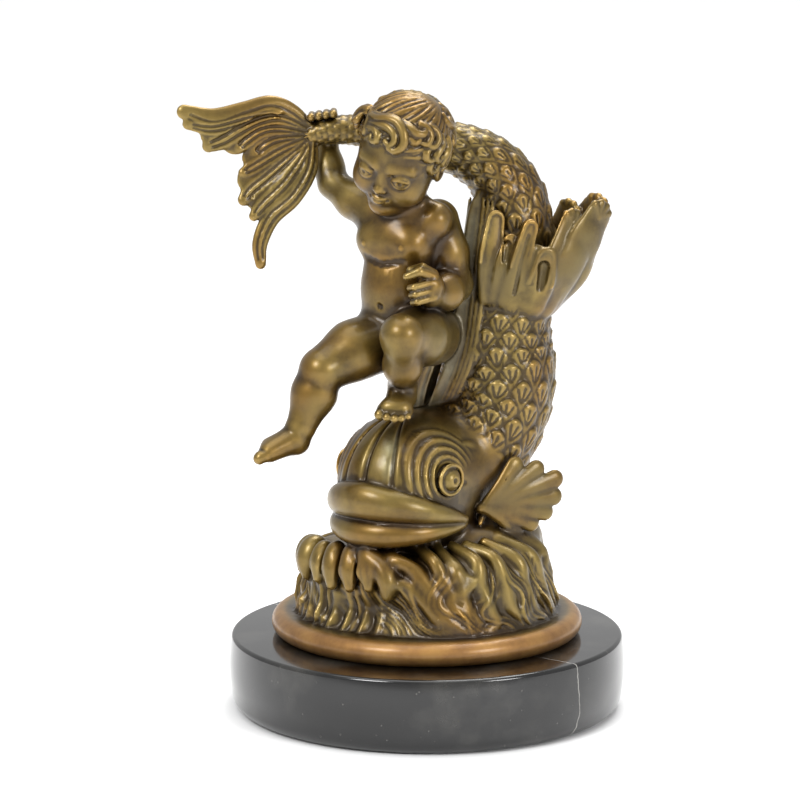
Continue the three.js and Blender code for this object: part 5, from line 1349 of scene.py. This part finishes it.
# Pale floor, soft studio light and the camera at the photograph's angle, in metres, degrees and watts.
studio = {
    "floor": 30.0, "floorColour": "#fafafa", "distance": 1.4, "elevation": 10.7, "view": 0.304,
    "target": (-0.0103, 0, 0.119), "lit": (0, 0, 0.12), "surround": 0.66, "skylight": 1.3,
    "lamps": {  # place, size and power
        "key": ((-0.7, -0.9, 1.0), 0.5, 10), "fill": ((0.8, -0.8, 0.5), 0.4, 5),
        "top": ((0.2, 0.4, 1.1), 0.6, 6),
    },
}
floorMesh = bpy.data.meshes.new("floor")
h = studio["floor"] / 2
floorMesh.from_pydata([(-h, -h, 0), (h, -h, 0), (h, h, 0), (-h, h, 0)], [], [(0, 1, 2, 3)])
floor = linked("floor", floorMesh)
floorMaterial, floorTree, floorShader = newMaterial("studio_floor")  # matt and nearly white
floorShader.inputs["Base Color"].default_value = colour(studio["floorColour"])
floorShader.inputs["Roughness"].default_value = 0.7
floorMesh.materials.append(floorMaterial)
floor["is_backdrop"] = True

world = bpy.data.worlds.new("studio")
scene.world = world
world.use_nodes = True
sky = world.node_tree.nodes["Background"]
seen = node(world.node_tree, "ShaderNodeLightPath", "Is Camera Ray")
bright = node(world.node_tree, "ShaderNodeMapRange", "Result", Value=seen, ToMin=studio["surround"], ToMax=1.0)
sky.inputs["Color"].default_value = (1, 1, 1, 1)
world.node_tree.links.new(bright, sky.inputs["Strength"])


for name, (place, size, power) in studio["lamps"].items():
    light = bpy.data.lights.new(name, "AREA")
    light.shape = "DISK"
    light.size = size
    light.energy = power
    lamp = linked(name, light)
    lamp.location = place
    lamp.rotation_mode = "QUATERNION"
    lamp.rotation_quaternion = (Vector(studio["lit"]) - Vector(place)).to_track_quat("-Z", "Y")
sun = bpy.data.lights.new("skylight", "SUN")  # evens out the floor
sun.energy = studio["skylight"]
sun.angle = 1.0
overhead = linked("skylight", sun)
overhead.location = (0, 0, 2)

camera = bpy.data.cameras.new("camera")
camera.sensor_width = 36
camera.lens = 36 * studio["distance"] / studio["view"]
viewer = linked("camera", camera)
tilt = math.radians(studio["elevation"])
back = Vector((0, -math.cos(tilt), math.sin(tilt)))
viewer.location = Vector(studio["target"]) + back * studio["distance"]
viewer.rotation_mode = "QUATERNION"
viewer.rotation_quaternion = (-back).to_track_quat("-Z", "Y")
scene.camera = viewer
scene.view_settings.view_transform = "Standard"

boxes = {"cad": cadBox, "visual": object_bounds()}
{name: [list(map(float, v)) for v in box] for name, box in boxes.items()}
print("scene done")
